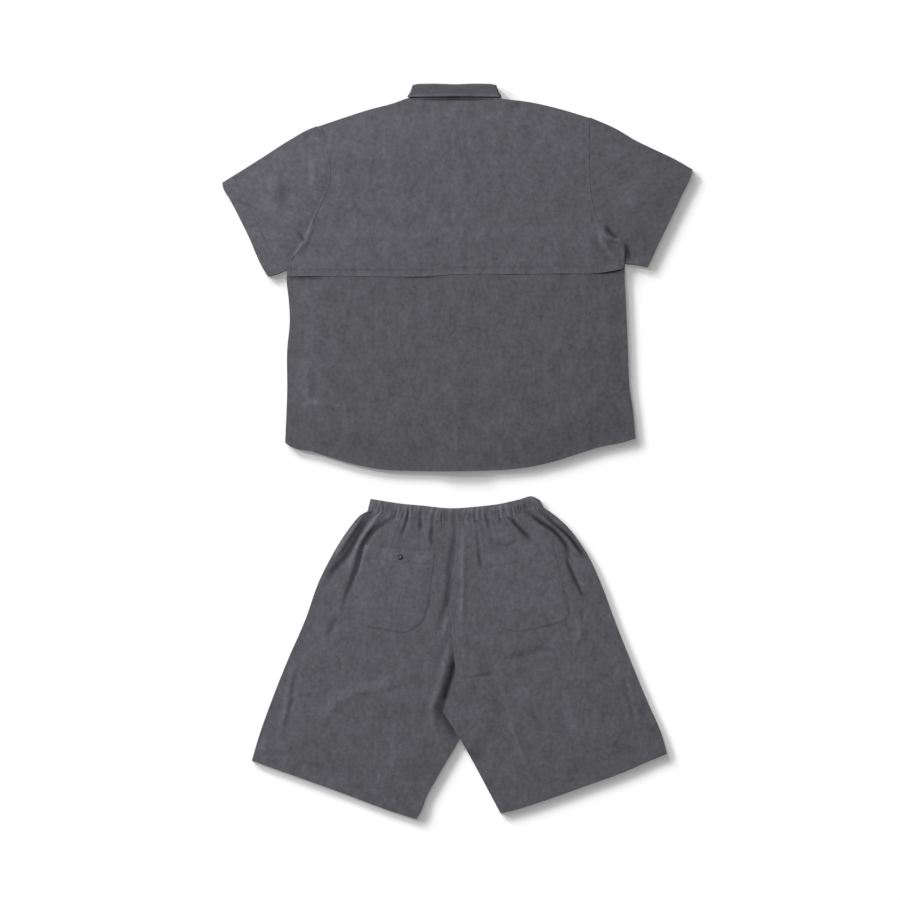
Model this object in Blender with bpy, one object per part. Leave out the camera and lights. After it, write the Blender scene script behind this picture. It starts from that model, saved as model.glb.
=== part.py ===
"""Denim shirt and shorts set, laid flat on its front.

Metres, +Z up. Z is zero on the surface that the set lies on, +Y runs from the hems to the collar, and the
origin is below the middle of the set. Left and right are as seen from above. The tables of outline points
and folds are in millimetres.
"""
from collections import namedtuple

import bmesh
import bpy
import numpy as np

MM = 0.001
TINY = 1e-12

# Cloth and seams
CLOTH = 0.0012
GAP = 0.0003
LAYER = CLOTH + GAP
BAND_CLOTH = 0.0016
FOLD_NOSE = 0.0009

# How far the upper layers rise between the edges of the shirt and of the shorts
SHIRT_CROWN = 0.0036
SHORTS_CROWN = 0.0018
CROWN_RAMP = 0.070

# Centre front, with its overlap and the room that the buttons take under it
CENTRE_TOP = (-5, 611)
CENTRE_HEM = (5, -39)
PLACKET_HALF = 0.015
PLACKET_RAMP = 0.022
PLACKET_MARGIN = 0.020
PLACKET_END_Y = 0.618
FRONT_HEM_RISE = 0.006
BUTTON_RADIUS = 0.0055
BUTTON_THICK = 0.0018
BUTTON_COUNT = 6
BUTTON_TOP_Y = 0.540
BUTTON_PITCH = 0.085
BUTTON_SIDES = 12
BUTTON_BEVEL = 0.25
BUTTON_LIFT = BUTTON_THICK + GAP
BUTTON_LIFT_RAMP = 0.045
BUTTON_LIFT_REACH = 0.040

# Cape and the part of the lower back that lies under it
CAPE_UNDERLAP_Y = 0.412
LAP_CLEAR = 0.0004
CAPE_LIFT_RAMP = 0.030
CAPE_EDGE_REACH = 0.040
COLLAR_CENTRE_X = -5
STAND_INSET = 4.4
STAND_RAISE = 3
NECK_CLEAR = 0.0010
LEAF_MARGIN = 0.022
LEAF_RAMP = 0.040

# Overlap of the right leg on the left leg at the crotch
CROTCH_MARGIN = 0.014
CROTCH_RAMP = 0.034
CROTCH_BACK_MARGIN = 0.021
CROTCH_CLEAR = 0.0006
BAND_CLEAR_Y = -40

# Waistband gathers
BAND_WAVES = 23
BAND_WAVE_HEIGHT = 0.0011
BAND_WAVE_STEPS = 5
BAND_BULGE = 0.0014
BAND_BULGE_RAMP = 0.018
POCKET_GAP = 0.0010

# Shirt outline
SHOULDER_LEFT = ((-272, 633), (-222, 650), (-172, 666), (-117, 681), (-101, 687))
SHOULDER_RIGHT = ((91, 687), (141, 681), (206, 666), (259, 650))
SIDE_LEFT = ((-335, 17), (-331, 120), (-331, 198), (-326, 256), (-328, 295), (-332, 334), (-331, 354))
SIDE_RIGHT = ((348, 25), (343, 80), (337, 120), (333, 198), (329, 295), (327, 334), (327, 366))
ARMHOLE_LEFT = ((-331, 354), (-329, 376), (-316, 393), (-303, 414), (-284, 457), (-272, 484), (-258, 516),
                (-254, 550), (-264, 597), (-272, 633))
ARMHOLE_RIGHT = ((327, 366), (326, 388), (315, 404), (292, 419), (278, 444), (267, 478), (261, 512),
                 (259, 560), (259, 650))
HEM_LEFT = ((-335, 17), (-328, 11), (-281, -1), (-234, -16), (-188, -28), (-141, -36), (-95, -38),
            (-21, -39), (20, -39))
HEM_RIGHT = ((-10, -39), (46, -38), (93, -36), (138, -31), (185, -21), (230, -7), (278, 8), (326, 18),
             (348, 25))
SLEEVE_TOP_LEFT = ((-272, 633), (-288, 627), (-324, 607), (-385, 568), (-415, 549), (-457, 523))
SLEEVE_TOP_RIGHT = ((259, 650), (311, 627), (344, 607), (383, 588), (425, 568), (459, 548))
SLEEVE_UNDER_LEFT = ((-331, 354), (-350, 346), (-369, 342))
SLEEVE_UNDER_RIGHT = ((327, 366), (350, 364), (372, 360))
CUFF_LEFT = ((-369, 342), (-376, 353), (-408, 423), (-443, 492), (-456, 515), (-457, 523))
CUFF_RIGHT = ((372, 360), (379, 374), (387, 392), (415, 450), (443, 509), (454, 531), (459, 548))
CAPE_EDGE = ((-328, 341), (-228, 341), (-111, 340), (-47, 341), (-10, 344), (123, 345), (200, 346),
             (273, 347), (324, 355))

# Collar, from the centre front round the left side to the centre back: its seam to the neck, the line
# where it rolls over and its free edge
Collar = namedtuple("Collar", "neck_x neck_y roll_x roll_y edge_x edge_y")
COLLAR_FRONT = (
    Collar(-6, 611, -7, 634, -8, 622),
    Collar(-22, 616, -20, 640, -26, 592),
    Collar(-42, 630, -36, 650, -46, 560),
    Collar(-64, 654, -54, 668, -64, 584),
    Collar(-84, 674, -70, 690, -82, 628),
)
COLLAR_SIDE = Collar(-101, 687, -86, 714, -100, 689)
COLLAR_BACK = (
    Collar(-88, 691, -76, 716, -86, 690),
    Collar(-45, 694, -42, 716.5, -42, 691),
    Collar(-5, 695, -5, 715, -5, 691.5),
)

# Shorts outline
OUTSEAM_LEFT = ((-400, -603), (-386, -555), (-361, -485), (-330, -407), (-296, -329), (-268, -251),
                (-248, -211), (-224, -170), (-204, -142), (-188, -124), (-173, -116))
OUTSEAM_RIGHT = ((409, -590), (400, -555), (370, -485), (338, -407), (307, -329), (278, -251), (260, -211),
                 (234, -170), (211, -142), (190, -124), (167, -108))
LEG_HEM_LEFT = ((-400, -603), (-313, -634), (-235, -662), (-118, -705), (-79, -717))
LEG_HEM_RIGHT = ((85, -706), (111, -700), (165, -683), (247, -654), (329, -624), (382, -601),
                 (409, -590))
NOTCH = (6, -560)
INSEAM_LEFT = ((-79, -717), (-71, -704), (-59, -673), (-42, -642), (-24, -611), NOTCH, (33, -495))
INSEAM_RIGHT = ((85, -706), (61, -661), (35, -612), NOTCH, (-27, -508))
CROTCH_LEFT = ((33, -495), (12, -440), (-7, -397))
CROTCH_RIGHT = ((-27, -508), (-14, -454), (-7, -397))
CENTRE_SEAM = ((-7, -397), (-13, -339), (-19, -274), (-7, -216), (-2, -136))
WAIST = ((-173, -116), (-117, -126), (-78, -130), (-49, -133), (-2, -136), (37, -134), (84, -130),
         (121, -122), (167, -108))
BAND_TOP = ((-171, -92), (-109, -102), (-66, -106), (-14, -111), (37, -108), (86, -102), (121, -94),
            (148, -88), (160, -94))

# Back pockets, each by its four edges
POCKET_LEFT = {
    "low": ((-207, -313), (-183, -338), (-148, -346), (-99, -352), (-66, -332)),
    "high": ((-180, -182), (-109, -192), (-43, -196)),
    "left": ((-207, -313), (-195, -250), (-180, -182)),
    "right": ((-66, -332), (-58, -305), (-51, -260), (-43, -196)),
}
POCKET_RIGHT = {
    "low": ((83, -344), (109, -350), (220, -332), (236, -322)),
    "high": ((50, -204), (101, -194), (185, -167)),
    "left": ((83, -344), (70, -319), (58, -257), (50, -204)),
    "right": ((236, -322), (220, -300), (203, -245), (185, -167)),
}
POCKET_BUTTON = (-113, -204)
POCKET_BUTTON_RADIUS = 0.0060

# Folds: a line from start by bend to end, how far it spreads to each side and how high it rises
Fold = namedtuple("Fold", "start bend end width height")
SLEEVE_FOLDS = (
    Fold((-285, 575), (-281, 540), (-268, 505), 12, 1.2),
    Fold((-341, 560), (-345, 500), (-338, 440), 16, 0.9),
    Fold((290, 452), (320, 412), (347, 382), 10, 2.0),
)
CAPE_FOLDS = (
    Fold((262, 450), (282, 405), (314, 374), 9, 1.4),
    Fold((-274, 440), (-290, 405), (-318, 372), 10, 1.2),
    Fold((-46, 340), (-30, 356), (-8, 366), 8, 0.8),
)
LOWER_BACK_FOLDS = (
    Fold((-292, 190), (-290, 140), (-296, 90), 12, 1.2),
    Fold((-310, 84), (-270, 92), (-230, 84), 11, 1.0),
)
SHORTS_FOLDS = (
    Fold((-165, -118), (-186, -150), (-222, -205), 10, 1.6),
    Fold((-128, -122), (-160, -160), (-186, -230), 11, 1.9),
    Fold((-175, -230), (-195, -270), (-232, -330), 13, 1.4),
    Fold((-100, -124), (-104, -150), (-128, -176), 9, 1.4),
    Fold((-66, -126), (-60, -148), (-54, -176), 9, 1.3),
    Fold((-32, -132), (-30, -160), (-24, -188), 8, 1.2),
    Fold((12, -128), (12, -240), (9, -372), 11, 1.3),
    Fold((38, -130), (46, -180), (52, -236), 9, 1.4),
    Fold((66, -128), (72, -150), (84, -172), 8, 1.1),
    Fold((100, -124), (122, -150), (150, -180), 9, 1.5),
    Fold((134, -116), (184, -150), (218, -206), 10, 1.9),
    Fold((160, -110), (196, -140), (224, -172), 10, 1.5),
    Fold((190, -170), (214, -200), (240, -318), 12, 1.3),
    Fold((-56, -438), (-150, -475), (-292, -590), 16, 1.8),
    Fold((-20, -330), (-34, -350), (-50, -372), 10, 1.0),
    Fold((244, -330), (240, -350), (230, -390), 12, 1.0),
    Fold((114, -556), (130, -600), (158, -640), 12, 1.2),
    Fold((314, -402), (330, -450), (340, -506), 14, 1.0),
)
FOLD_STEPS = 8
FOLD_FADE = 3.5

# Places where the cape's free edge stands up, along X
Lift = namedtuple("Lift", "x width height")
CAPE_LIFTS = (
    Lift(-295, 26, 1.5),
    Lift(-160, 40, 0.6),
    Lift(-73, 36, 1.6),
    Lift(70, 60, 0.5),
    Lift(190, 34, 0.7),
    Lift(292, 24, 1.6),
)

# Columns of the fronts, as distances out from the centre front at the hem and at the top
FRONT_HEM_OUT = (270, 205, 150, 105, 80, 60, 38, 15, 0, -15)
FRONT_TOP_OUT = (219, 178, 137, 96, 80, 60, 38, 15, 0, -15)
FRONT_SHARES = (0, 0.2, 0.4, 0.58, 0.74, 0.86, 0.94, 1, 1, 1, 1)

# Steps along the edges, many of which neighbours share
LOOKUP_STEPS = 60
ARMHOLE_STEPS = 12
UNDERLAP_STEPS = 2
SIDE_STEPS = 9
FRONT_SIDE_STEPS = 6
SLEEVE_STEPS = 9
CAPE_COLUMNS = (9, 12, 9)
LOWER_BACK_COLUMNS = 22
CENTRE_SEAM_STEPS = 8
BACK_COLUMNS = 25
FRONT_COLUMNS = 10
POCKET_COLUMNS = 10
POCKET_ROWS = 8
RIGHT_FRONT_SHARES = (0, 0.04, 0.08, 0.12, 0.16, 0.2, 0.24, 0.28, 0.4, 0.52, 0.64, 0.76, 0.88, 1)

# Looks of each kind of piece
DENIM_COLOUR = (0.108, 0.106, 0.120, 1.0)
BUTTON_COLOUR = (0.030, 0.030, 0.034, 1.0)


# Curves and shapes in plan
def curve(points, steps):
    """Places along a smooth curve through points in millimetres, at so many steps or at given shares."""
    places = np.array(points, float) * MM
    run = np.concatenate([[0.0], np.cumsum(np.linalg.norm(np.diff(places, axis=0), axis=1))])
    slope = np.gradient(places, run, axis=0)
    at = np.linspace(0.0, run[-1], 40 * len(places))
    part = np.clip(np.searchsorted(run, at, side="right") - 1, 0, len(places) - 2)
    length = (run[part + 1] - run[part])[:, None]
    t = (at[:, None] - run[part][:, None]) / length
    fine = ((1 + 2 * t) * (1 - t) ** 2 * places[part] + t * (1 - t) ** 2 * length * slope[part]
            + t ** 2 * (3 - 2 * t) * places[part + 1] - t ** 2 * (1 - t) * length * slope[part + 1])
    return spaced(fine, steps)


def spaced(line, steps):
    """Places along a line of places, at a number of even steps or at given shares of its length."""
    run = np.concatenate([[0.0], np.cumsum(np.linalg.norm(np.diff(line, axis=0), axis=1))])
    shares = np.linspace(0.0, 1.0, steps + 1) if isinstance(steps, int) else np.asarray(steps)
    return np.stack([np.interp(shares * run[-1], run, line[:, axis]) for axis in range(2)], axis=1)


def at_x(line, xs):
    """Places on a line that runs one way along X, at the given X in millimetres."""
    rising = line if line[0, 0] < line[-1, 0] else line[::-1]
    x = np.array(xs, float) * MM
    return np.stack([x, np.interp(x, rising[:, 0], rising[:, 1])], axis=1)


def chain(*parts):
    """One line from (points, steps) parts that start where the one before ends."""
    lines = [curve(points, steps) for points, steps in parts]
    return np.vstack([lines[0]] + [line[1:] for line in lines[1:]])


def shifted(line, x=0.0, y=0.0):
    """The line, moved by x and y metres."""
    return line + np.array([x, y])


def mirrored(points):
    """Points in millimetres, mirrored about the middle of the collar and in reverse order."""
    return tuple((2 * COLLAR_CENTRE_X - x, y) for x, y in reversed(points))


def patch(low, high, left, right, shares=None):
    """Places inside four edges; rows run from low to high, and columns from left to right at the shares."""
    u = (np.linspace(0.0, 1.0, len(low)) if shares is None else np.asarray(shares))[None, :, None]
    v = np.linspace(0.0, 1.0, len(left))[:, None, None]
    left = np.vstack([low[:1], left[1:-1], high[:1]])
    right = np.vstack([low[-1:], right[1:-1], high[-1:]])
    across = (1 - v) * low[None] + v * high[None]
    along = (1 - u) * left[:, None] + u * right[:, None]
    corners = ((1 - v) * ((1 - u) * low[0] + u * low[-1]) + v * ((1 - u) * high[0] + u * high[-1]))
    return across + along - corners


def smooth(value):
    """0 below 0, 1 above 1, and a soft step between."""
    t = np.clip(value, 0.0, 1.0)
    return t * t * (3.0 - 2.0 * t)


def line_distance(x, y, line):
    """Distance from each place to a line, and how far along the line its nearest point is, 0 to 1."""
    best = np.full(x.shape, np.inf)
    along = np.zeros(x.shape)
    count = len(line) - 1
    for k in range(count):
        (ax, ay), (bx, by) = line[k], line[k + 1]
        dx, dy = bx - ax, by - ay
        t = np.clip(((x - ax) * dx + (y - ay) * dy) / max(dx * dx + dy * dy, TINY), 0.0, 1.0)
        distance = np.hypot(x - ax - t * dx, y - ay - t * dy)
        nearer = distance < best
        best = np.where(nearer, distance, best)
        along = np.where(nearer, (k + t) / count, along)
    return best, along


def depth_inside(x, y, outline):
    """Distance to a closed outline: positive inside it, negative outside."""
    ring = np.vstack([outline, outline[:1]])
    distance, _ = line_distance(x, y, ring)
    inside = np.zeros(x.shape, bool)
    for (ax, ay), (bx, by) in zip(ring[:-1], ring[1:]):
        if ay != by:
            crosses = (ay > y) != (by > y)
            inside ^= crosses & (x < (bx - ax) * (y - ay) / (by - ay) + ax)
    return np.where(inside, distance, -distance)


def fold_height(x, y, folds):
    """Height that a table of folds adds: round ridges that fade out at both ends."""
    total = np.zeros(x.shape)
    for fold in folds:
        start, bend, end = (np.array(place, float) * MM for place in (fold.start, fold.bend, fold.end))
        t = np.linspace(0.0, 1.0, FOLD_STEPS + 1)[:, None]
        middle = 2 * bend - (start + end) / 2
        line = (1 - t) ** 2 * start + 2 * t * (1 - t) * middle + t ** 2 * end
        distance, along = line_distance(x, y, line)
        fade = smooth(FOLD_FADE * along) * smooth(FOLD_FADE * (1 - along))
        total += fold.height * MM * fade * np.exp(-(distance / (fold.width * MM)) ** 2)
    return total


# Outlines that the upper layers rise inside
NECK_FRONT = tuple((row.neck_x, row.neck_y) for row in COLLAR_FRONT)
NECK_BACK = tuple((row.neck_x, row.neck_y) for row in (COLLAR_SIDE,) + COLLAR_BACK)
NECK_SIDE = (COLLAR_SIDE.neck_x, COLLAR_SIDE.neck_y)
SHIRT_OUTLINE = chain(
    (SHOULDER_LEFT, 6), (NECK_BACK + mirrored(NECK_BACK)[1:], 6), (SHOULDER_RIGHT, 6),
    (SLEEVE_TOP_RIGHT, 8), (CUFF_RIGHT[::-1], 6), (SLEEVE_UNDER_RIGHT[::-1], 2), (SIDE_RIGHT[::-1], 8),
    (HEM_RIGHT[::-1], 8), (HEM_LEFT[::-1], 8), (SIDE_LEFT, 8), (SLEEVE_UNDER_LEFT, 2), (CUFF_LEFT, 6),
    (SLEEVE_TOP_LEFT[::-1], 8))
SHORTS_OUTLINE = np.vstack([
    chain((OUTSEAM_LEFT, 16)),
    np.array([(-172, BAND_CLEAR_Y), (166, BAND_CLEAR_Y)]) * MM,
    chain((OUTSEAM_RIGHT[::-1], 16), (LEG_HEM_RIGHT[::-1], 4)),
    chain((INSEAM_RIGHT[:4], 4)),
    chain((INSEAM_LEFT[:6][::-1], 6)),
    chain((LEG_HEM_LEFT[::-1], 4))])
CROTCH_OVERLAP = np.vstack([
    chain((CROTCH_LEFT[::-1], 3), (INSEAM_LEFT[5:][::-1], 2)), chain((INSEAM_RIGHT[3:], 2)),
    chain((CROTCH_RIGHT, 3))])
LEAF_LEFT = np.vstack([
    chain((tuple((row.edge_x, row.edge_y) for row in COLLAR_FRONT[:3]), 2)),
    chain((tuple((row.edge_x, row.edge_y) for row in COLLAR_FRONT[2:]), 4)),
    chain((tuple((row.roll_x, row.roll_y) for row in (COLLAR_SIDE,) + COLLAR_FRONT[::-1]), 5))])
LEAF_RIGHT = LEAF_LEFT * np.array([-1, 1]) + np.array([2 * COLLAR_CENTRE_X * MM, 0])


# Heights of the underside of each layer
def centre_x(y):
    """X of the centre front at y."""
    top_x, top_y = CENTRE_TOP
    hem_x, hem_y = CENTRE_HEM
    return (hem_x + (top_x - hem_x) * (y / MM - hem_y) / (top_y - hem_y)) * MM


def leaf_lift(x, y):
    """Rise of the fronts over the collar's points."""
    depth = np.maximum(depth_inside(x, y, LEAF_LEFT), depth_inside(x, y, LEAF_RIGHT))
    return LAYER * smooth(1 + (depth + LEAF_MARGIN) / LEAF_RAMP)


def button_lift(x, y):
    """Rise of the fronts over the row of buttons."""
    low_y = BUTTON_TOP_Y - (BUTTON_COUNT - 1) * BUTTON_PITCH
    beside = np.abs(x - centre_x(y)) - PLACKET_HALF
    beyond = np.maximum(y - BUTTON_TOP_Y, low_y - y) - BUTTON_LIFT_REACH
    return BUTTON_LIFT * smooth(1 - beside / PLACKET_RAMP) * smooth(1 - beyond / BUTTON_LIFT_RAMP)


def left_front_level(x, y):
    """Underside of the left front, which rests on the surface."""
    return np.maximum(leaf_lift(x, y), button_lift(x, y))


def lap_share(x, y, margin):
    """1 where the fronts overlap, and 0 away from there; margin widens it."""
    beside = np.abs(x - centre_x(y)) - PLACKET_HALF - margin
    above = y - PLACKET_END_Y
    return smooth(1 - beside / PLACKET_RAMP) * smooth(1 - above / PLACKET_RAMP)


def right_front_level(x, y):
    """Underside of the right front, which lies on the left front at the centre."""
    return left_front_level(x, y) + LAYER * lap_share(x, y, 0.0)


def shirt_level(x, y):
    """Underside of the shirt's upper layer, before any folds."""
    crown = SHIRT_CROWN * smooth(depth_inside(x, y, SHIRT_OUTLINE) / CROWN_RAMP)
    fronts = left_front_level(x, y) + LAYER * lap_share(x, y, PLACKET_MARGIN)
    return LAYER + np.maximum(crown, fronts)


def lower_back_level(x, y):
    """Underside of the lower back."""
    return shirt_level(x, y) + fold_height(x, y, LOWER_BACK_FOLDS)


def cape_level(x, y):
    """Underside of the cape, which lies on the lower back and stands up a little at its free edge."""
    lap = (LAYER + LAP_CLEAR) * smooth(1 - (y - CAPE_UNDERLAP_Y - LAP_CLEAR) / CAPE_LIFT_RAMP)
    edge = np.interp(x, *curve(CAPE_EDGE, LOOKUP_STEPS).T)
    near = smooth(1 - (y - edge) / CAPE_EDGE_REACH)
    ripple = sum(lift.height * MM * np.exp(-((x / MM - lift.x) / lift.width) ** 2) for lift in CAPE_LIFTS)
    return shirt_level(x, y) + lap + near * ripple + fold_height(x, y, CAPE_FOLDS)


def sleeve_level(x, y):
    """Underside of a sleeve's upper layer."""
    crown = SHIRT_CROWN * smooth(depth_inside(x, y, SHIRT_OUTLINE) / CROWN_RAMP)
    return LAYER + crown + fold_height(x, y, SLEEVE_FOLDS)


def crotch_share(x, y, margin):
    """1 where the right leg lies on the left leg, and 0 away from there; margin widens it."""
    return smooth(1 + (depth_inside(x, y, CROTCH_OVERLAP) + margin) / CROTCH_RAMP)


def left_leg_level(x, y):
    """Underside of the left leg's back, and of the right leg's where it rests on the surface."""
    pressed = 1 - crotch_share(x, y, CROTCH_MARGIN)
    crown = SHORTS_CROWN * smooth(depth_inside(x, y, SHORTS_OUTLINE) / CROWN_RAMP)
    return LAYER + (crown + fold_height(x, y, SHORTS_FOLDS)) * pressed


def flat_level(x, y):
    """The surface that the set lies on."""
    return np.zeros(x.shape)


def right_leg_front_level(x, y):
    """Underside of the right leg's front, which lies on the left leg at the crotch."""
    return (2 * LAYER + CROTCH_CLEAR) * crotch_share(x, y, CROTCH_MARGIN)


def right_leg_level(x, y):
    """Underside of the right leg's back."""
    rise = (2 * LAYER + 2 * CROTCH_CLEAR) * crotch_share(x, y, CROTCH_BACK_MARGIN)
    return rise + left_leg_level(x, y)


# Solids
def material(name, colour, roughness):
    """A matt material of one colour."""
    made = bpy.data.materials.new(name)
    made.use_nodes = True
    shader = made.node_tree.nodes["Principled BSDF"]
    shader.inputs["Base Color"].default_value = colour
    shader.inputs["Roughness"].default_value = roughness
    shader.inputs["Metallic"].default_value = 0.0
    return made


def body(name, vertices, faces, look):
    """One closed object whose faces point out."""
    mesh = bpy.data.meshes.new(name)
    mesh.from_pydata([tuple(vertex) for vertex in vertices], [], faces)
    work = bmesh.new()
    work.from_mesh(mesh)
    bmesh.ops.recalc_face_normals(work, faces=work.faces)
    work.to_mesh(mesh)
    work.free()
    mesh.shade_smooth()
    mesh.set_sharp_from_angle(angle=np.radians(40))
    mesh.materials.append(look)
    made = bpy.data.objects.new(name, mesh)
    bpy.context.scene.collection.objects.link(made)
    return made


def wall(name, under, over, look):
    """The solid between two grids of places, closed round its edges."""
    rows, columns = under.shape[:2]
    index = np.arange(rows * columns).reshape(rows, columns)
    faces = []
    for i in range(rows - 1):
        for j in range(columns - 1):
            corners = (index[i, j], index[i, j + 1], index[i + 1, j + 1], index[i + 1, j])
            faces.append([int(k) for k in corners[::-1]])
            faces.append([int(k) + index.size for k in corners])
    rim = list(index[0, :-1]) + list(index[:-1, -1]) + list(index[-1, :0:-1]) + list(index[:0:-1, 0])
    for k, here in enumerate(rim):
        there = rim[(k + 1) % len(rim)]
        faces.append([int(here), int(there), int(there) + index.size, int(here) + index.size])
    vertices = np.vstack([under.reshape(-1, 3), over.reshape(-1, 3)])
    return body(name, vertices, faces, look)


def panel(name, edges, level, look, lift=0.0, shares=None):
    """A cloth wall inside four edges, on the height that level gives."""
    plan = patch(*edges, shares=shares)
    z = level(plan[..., 0], plan[..., 1]) + lift
    under = np.dstack([plan, z])
    over = np.dstack([plan, z + CLOTH])
    return wall(name, under, over, look)


def tube(name, middle, thickness, look):
    """A wall round rings of places on its middle; middle is rings by places by 3."""
    step = np.roll(middle, -1, axis=1) - np.roll(middle, 1, axis=1)
    along = np.gradient(middle, axis=0)
    normal = np.cross(step, along)
    normal /= np.linalg.norm(normal, axis=2, keepdims=True)
    outer = middle + normal * thickness / 2
    inner = middle - normal * thickness / 2
    rings, places = middle.shape[:2]
    index = np.arange(rings * places).reshape(rings, places)
    faces = []
    for i in range(rings - 1):
        for j in range(places):
            k = (j + 1) % places
            corners = (index[i, j], index[i, k], index[i + 1, k], index[i + 1, j])
            faces.append([int(c) for c in corners])
            faces.append([int(c) + index.size for c in corners[::-1]])
    for i in (0, rings - 1):
        for j in range(places):
            k = (j + 1) % places
            faces.append([int(index[i, j]), int(index[i, k]), int(index[i, k]) + index.size,
                          int(index[i, j]) + index.size])
    return body(name, np.vstack([outer.reshape(-1, 3), inner.reshape(-1, 3)]), faces, look)


def sheet(name, middle, thickness, look):
    """A wall on both sides of a grid of places that may turn over."""
    normal = np.cross(np.gradient(middle, axis=1), np.gradient(middle, axis=0))
    normal /= np.linalg.norm(normal, axis=2, keepdims=True)
    return wall(name, middle - normal * thickness / 2, middle + normal * thickness / 2, look)


def disc(name, place, low_z, radius, thick, look):
    """A round button with a softened rim."""
    angle = np.linspace(0.0, 2 * np.pi, BUTTON_SIDES, endpoint=False)
    bevel = thick * BUTTON_BEVEL
    profile = ((radius - bevel, 0.0), (radius, bevel), (radius, thick - bevel), (radius - bevel, thick))
    vertices = [(place[0] + r * np.cos(a), place[1] + r * np.sin(a), low_z + z)
                for r, z in profile for a in angle]
    faces = [list(range(BUTTON_SIDES)), [3 * BUTTON_SIDES + k for k in range(BUTTON_SIDES)]]
    for ring in range(len(profile) - 1):
        for k in range(BUTTON_SIDES):
            here = ring * BUTTON_SIDES + k
            there = ring * BUTTON_SIDES + (k + 1) % BUTTON_SIDES
            faces.append([here, there, there + BUTTON_SIDES, here + BUTTON_SIDES])
    return body(name, vertices, faces, look)


# Shirt
def armholes():
    """Left and right armhole lines, from the underarm up to the shoulder."""
    return curve(ARMHOLE_LEFT, ARMHOLE_STEPS), curve(ARMHOLE_RIGHT, ARMHOLE_STEPS)


def make_cape(denim):
    """Upper back, from the neck and shoulders to its free edge."""
    left, right = armholes()
    low = curve(CAPE_EDGE, sum(CAPE_COLUMNS))
    neck = NECK_BACK + mirrored(NECK_BACK)[1:]
    high = shifted(chain(*zip((SHOULDER_LEFT, neck, SHOULDER_RIGHT), CAPE_COLUMNS)), y=-GAP)
    panel("shirt_back_cape", (low, high, left, right), cape_level, denim)


def make_lower_back(denim):
    """Back of the body, from under the cape to the hem."""
    left_arm, right_arm = (line[:UNDERLAP_STEPS + 1] for line in armholes())
    low = curve(HEM_LEFT[:-1] + HEM_RIGHT[1:], LOWER_BACK_COLUMNS)
    left = np.vstack([curve(SIDE_LEFT, SIDE_STEPS), left_arm[1:]])
    right = np.vstack([curve(SIDE_RIGHT, SIDE_STEPS), right_arm[1:]])
    share = np.linspace(0.0, 1.0, LOWER_BACK_COLUMNS + 1)[:, None]
    high = (1 - share) * left_arm[-1] + share * right_arm[-1]
    panel("shirt_back_lower", (low, high, left, right), lower_back_level, denim)


def make_front(name, hem, shoulder, side, armhole, turn, level, denim):
    """One front, from its side and armhole to just past the centre front; turn is -1 on the left."""
    neck = (NECK_SIDE,) + NECK_FRONT[::-1] + ((CENTRE_TOP[0] + 1, CENTRE_TOP[1]),)
    neck += tuple(mirrored(NECK_FRONT)[-2:-4:-1])
    if turn > 0:
        neck = tuple((2 * COLLAR_CENTRE_X - x, y) for x, y in neck)
    top = np.vstack([curve(shoulder, LOOKUP_STEPS), curve(neck, LOOKUP_STEPS)[1:]])
    hem_x = [hem[0][0]] + [CENTRE_HEM[0] + turn * out for out in FRONT_HEM_OUT]
    top_x = [shoulder[0][0]] + [CENTRE_TOP[0] + turn * out for out in FRONT_TOP_OUT]
    low = shifted(at_x(curve(hem, LOOKUP_STEPS), hem_x), y=FRONT_HEM_RISE)
    high = shifted(at_x(top, top_x), y=-2 * GAP)
    outer = np.vstack([curve(side, FRONT_SIDE_STEPS), armhole[1:]])
    middle = (low[-1] + high[-1]) / 2
    inner = np.vstack([spaced(np.array([low[-1], middle]), FRONT_SIDE_STEPS),
                       spaced(np.array([middle, high[-1]]), ARMHOLE_STEPS)[1:]])
    if turn < 0:
        panel(name, (low, high, outer, inner), level, denim, shares=FRONT_SHARES)
    else:
        shares = 1 - np.array(FRONT_SHARES[::-1])
        panel(name, (low[::-1], high[::-1], inner, outer), level, denim, shares=shares)


def make_fronts(denim):
    """Left front and right front, which overlap at the centre front."""
    left_arm, right_arm = armholes()
    make_front("shirt_front_left", HEM_LEFT, SHOULDER_LEFT, SIDE_LEFT, left_arm, -1,
               left_front_level, denim)
    make_front("shirt_front_right", HEM_RIGHT[::-1], SHOULDER_RIGHT[::-1], SIDE_RIGHT, right_arm, 1,
               right_front_level, denim)


def flat_ring(plan, upper_z, lower_z):
    """Rings round a flattened tube: along its lower layer, round a folded edge and back along its upper."""
    first = plan[:, :1] + (plan[:, :1] - plan[:, 1:2]) * fold_share(plan[:, 0], plan[:, 1])
    last = plan[:, -1:] + (plan[:, -1:] - plan[:, -2:-1]) * fold_share(plan[:, -1], plan[:, -2])
    lower = np.dstack([plan, lower_z])
    upper = np.dstack([plan, upper_z])[:, ::-1]
    nose_last = np.dstack([last, (upper_z[:, -1:] + lower_z[:, -1:]) / 2])
    nose_first = np.dstack([first, (upper_z[:, :1] + lower_z[:, :1]) / 2])
    return np.concatenate([lower, nose_last, upper, nose_first], axis=1)


def fold_share(edge, inner):
    """How far a folded edge stands out, as a share of the step beside it."""
    return (FOLD_NOSE / np.linalg.norm(edge - inner, axis=1))[:, None, None]


def make_sleeve(name, top, under, cuff, armhole, side, denim):
    """Short sleeve: a flattened tube, open at the armhole and the cuff; side is -1 on the left."""
    lines = (curve(under, SLEEVE_STEPS), curve(top, SLEEVE_STEPS), armhole, curve(cuff, ARMHOLE_STEPS))
    plan = patch(*(shifted(line, x=side * 2 * GAP) for line in lines))
    rings = np.swapaxes(plan, 0, 1)
    upper = sleeve_level(rings[..., 0], rings[..., 1]) + CLOTH / 2
    lower = np.full(upper.shape, CLOTH / 2)
    tube(name, flat_ring(rings, upper, lower), CLOTH, denim)


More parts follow.
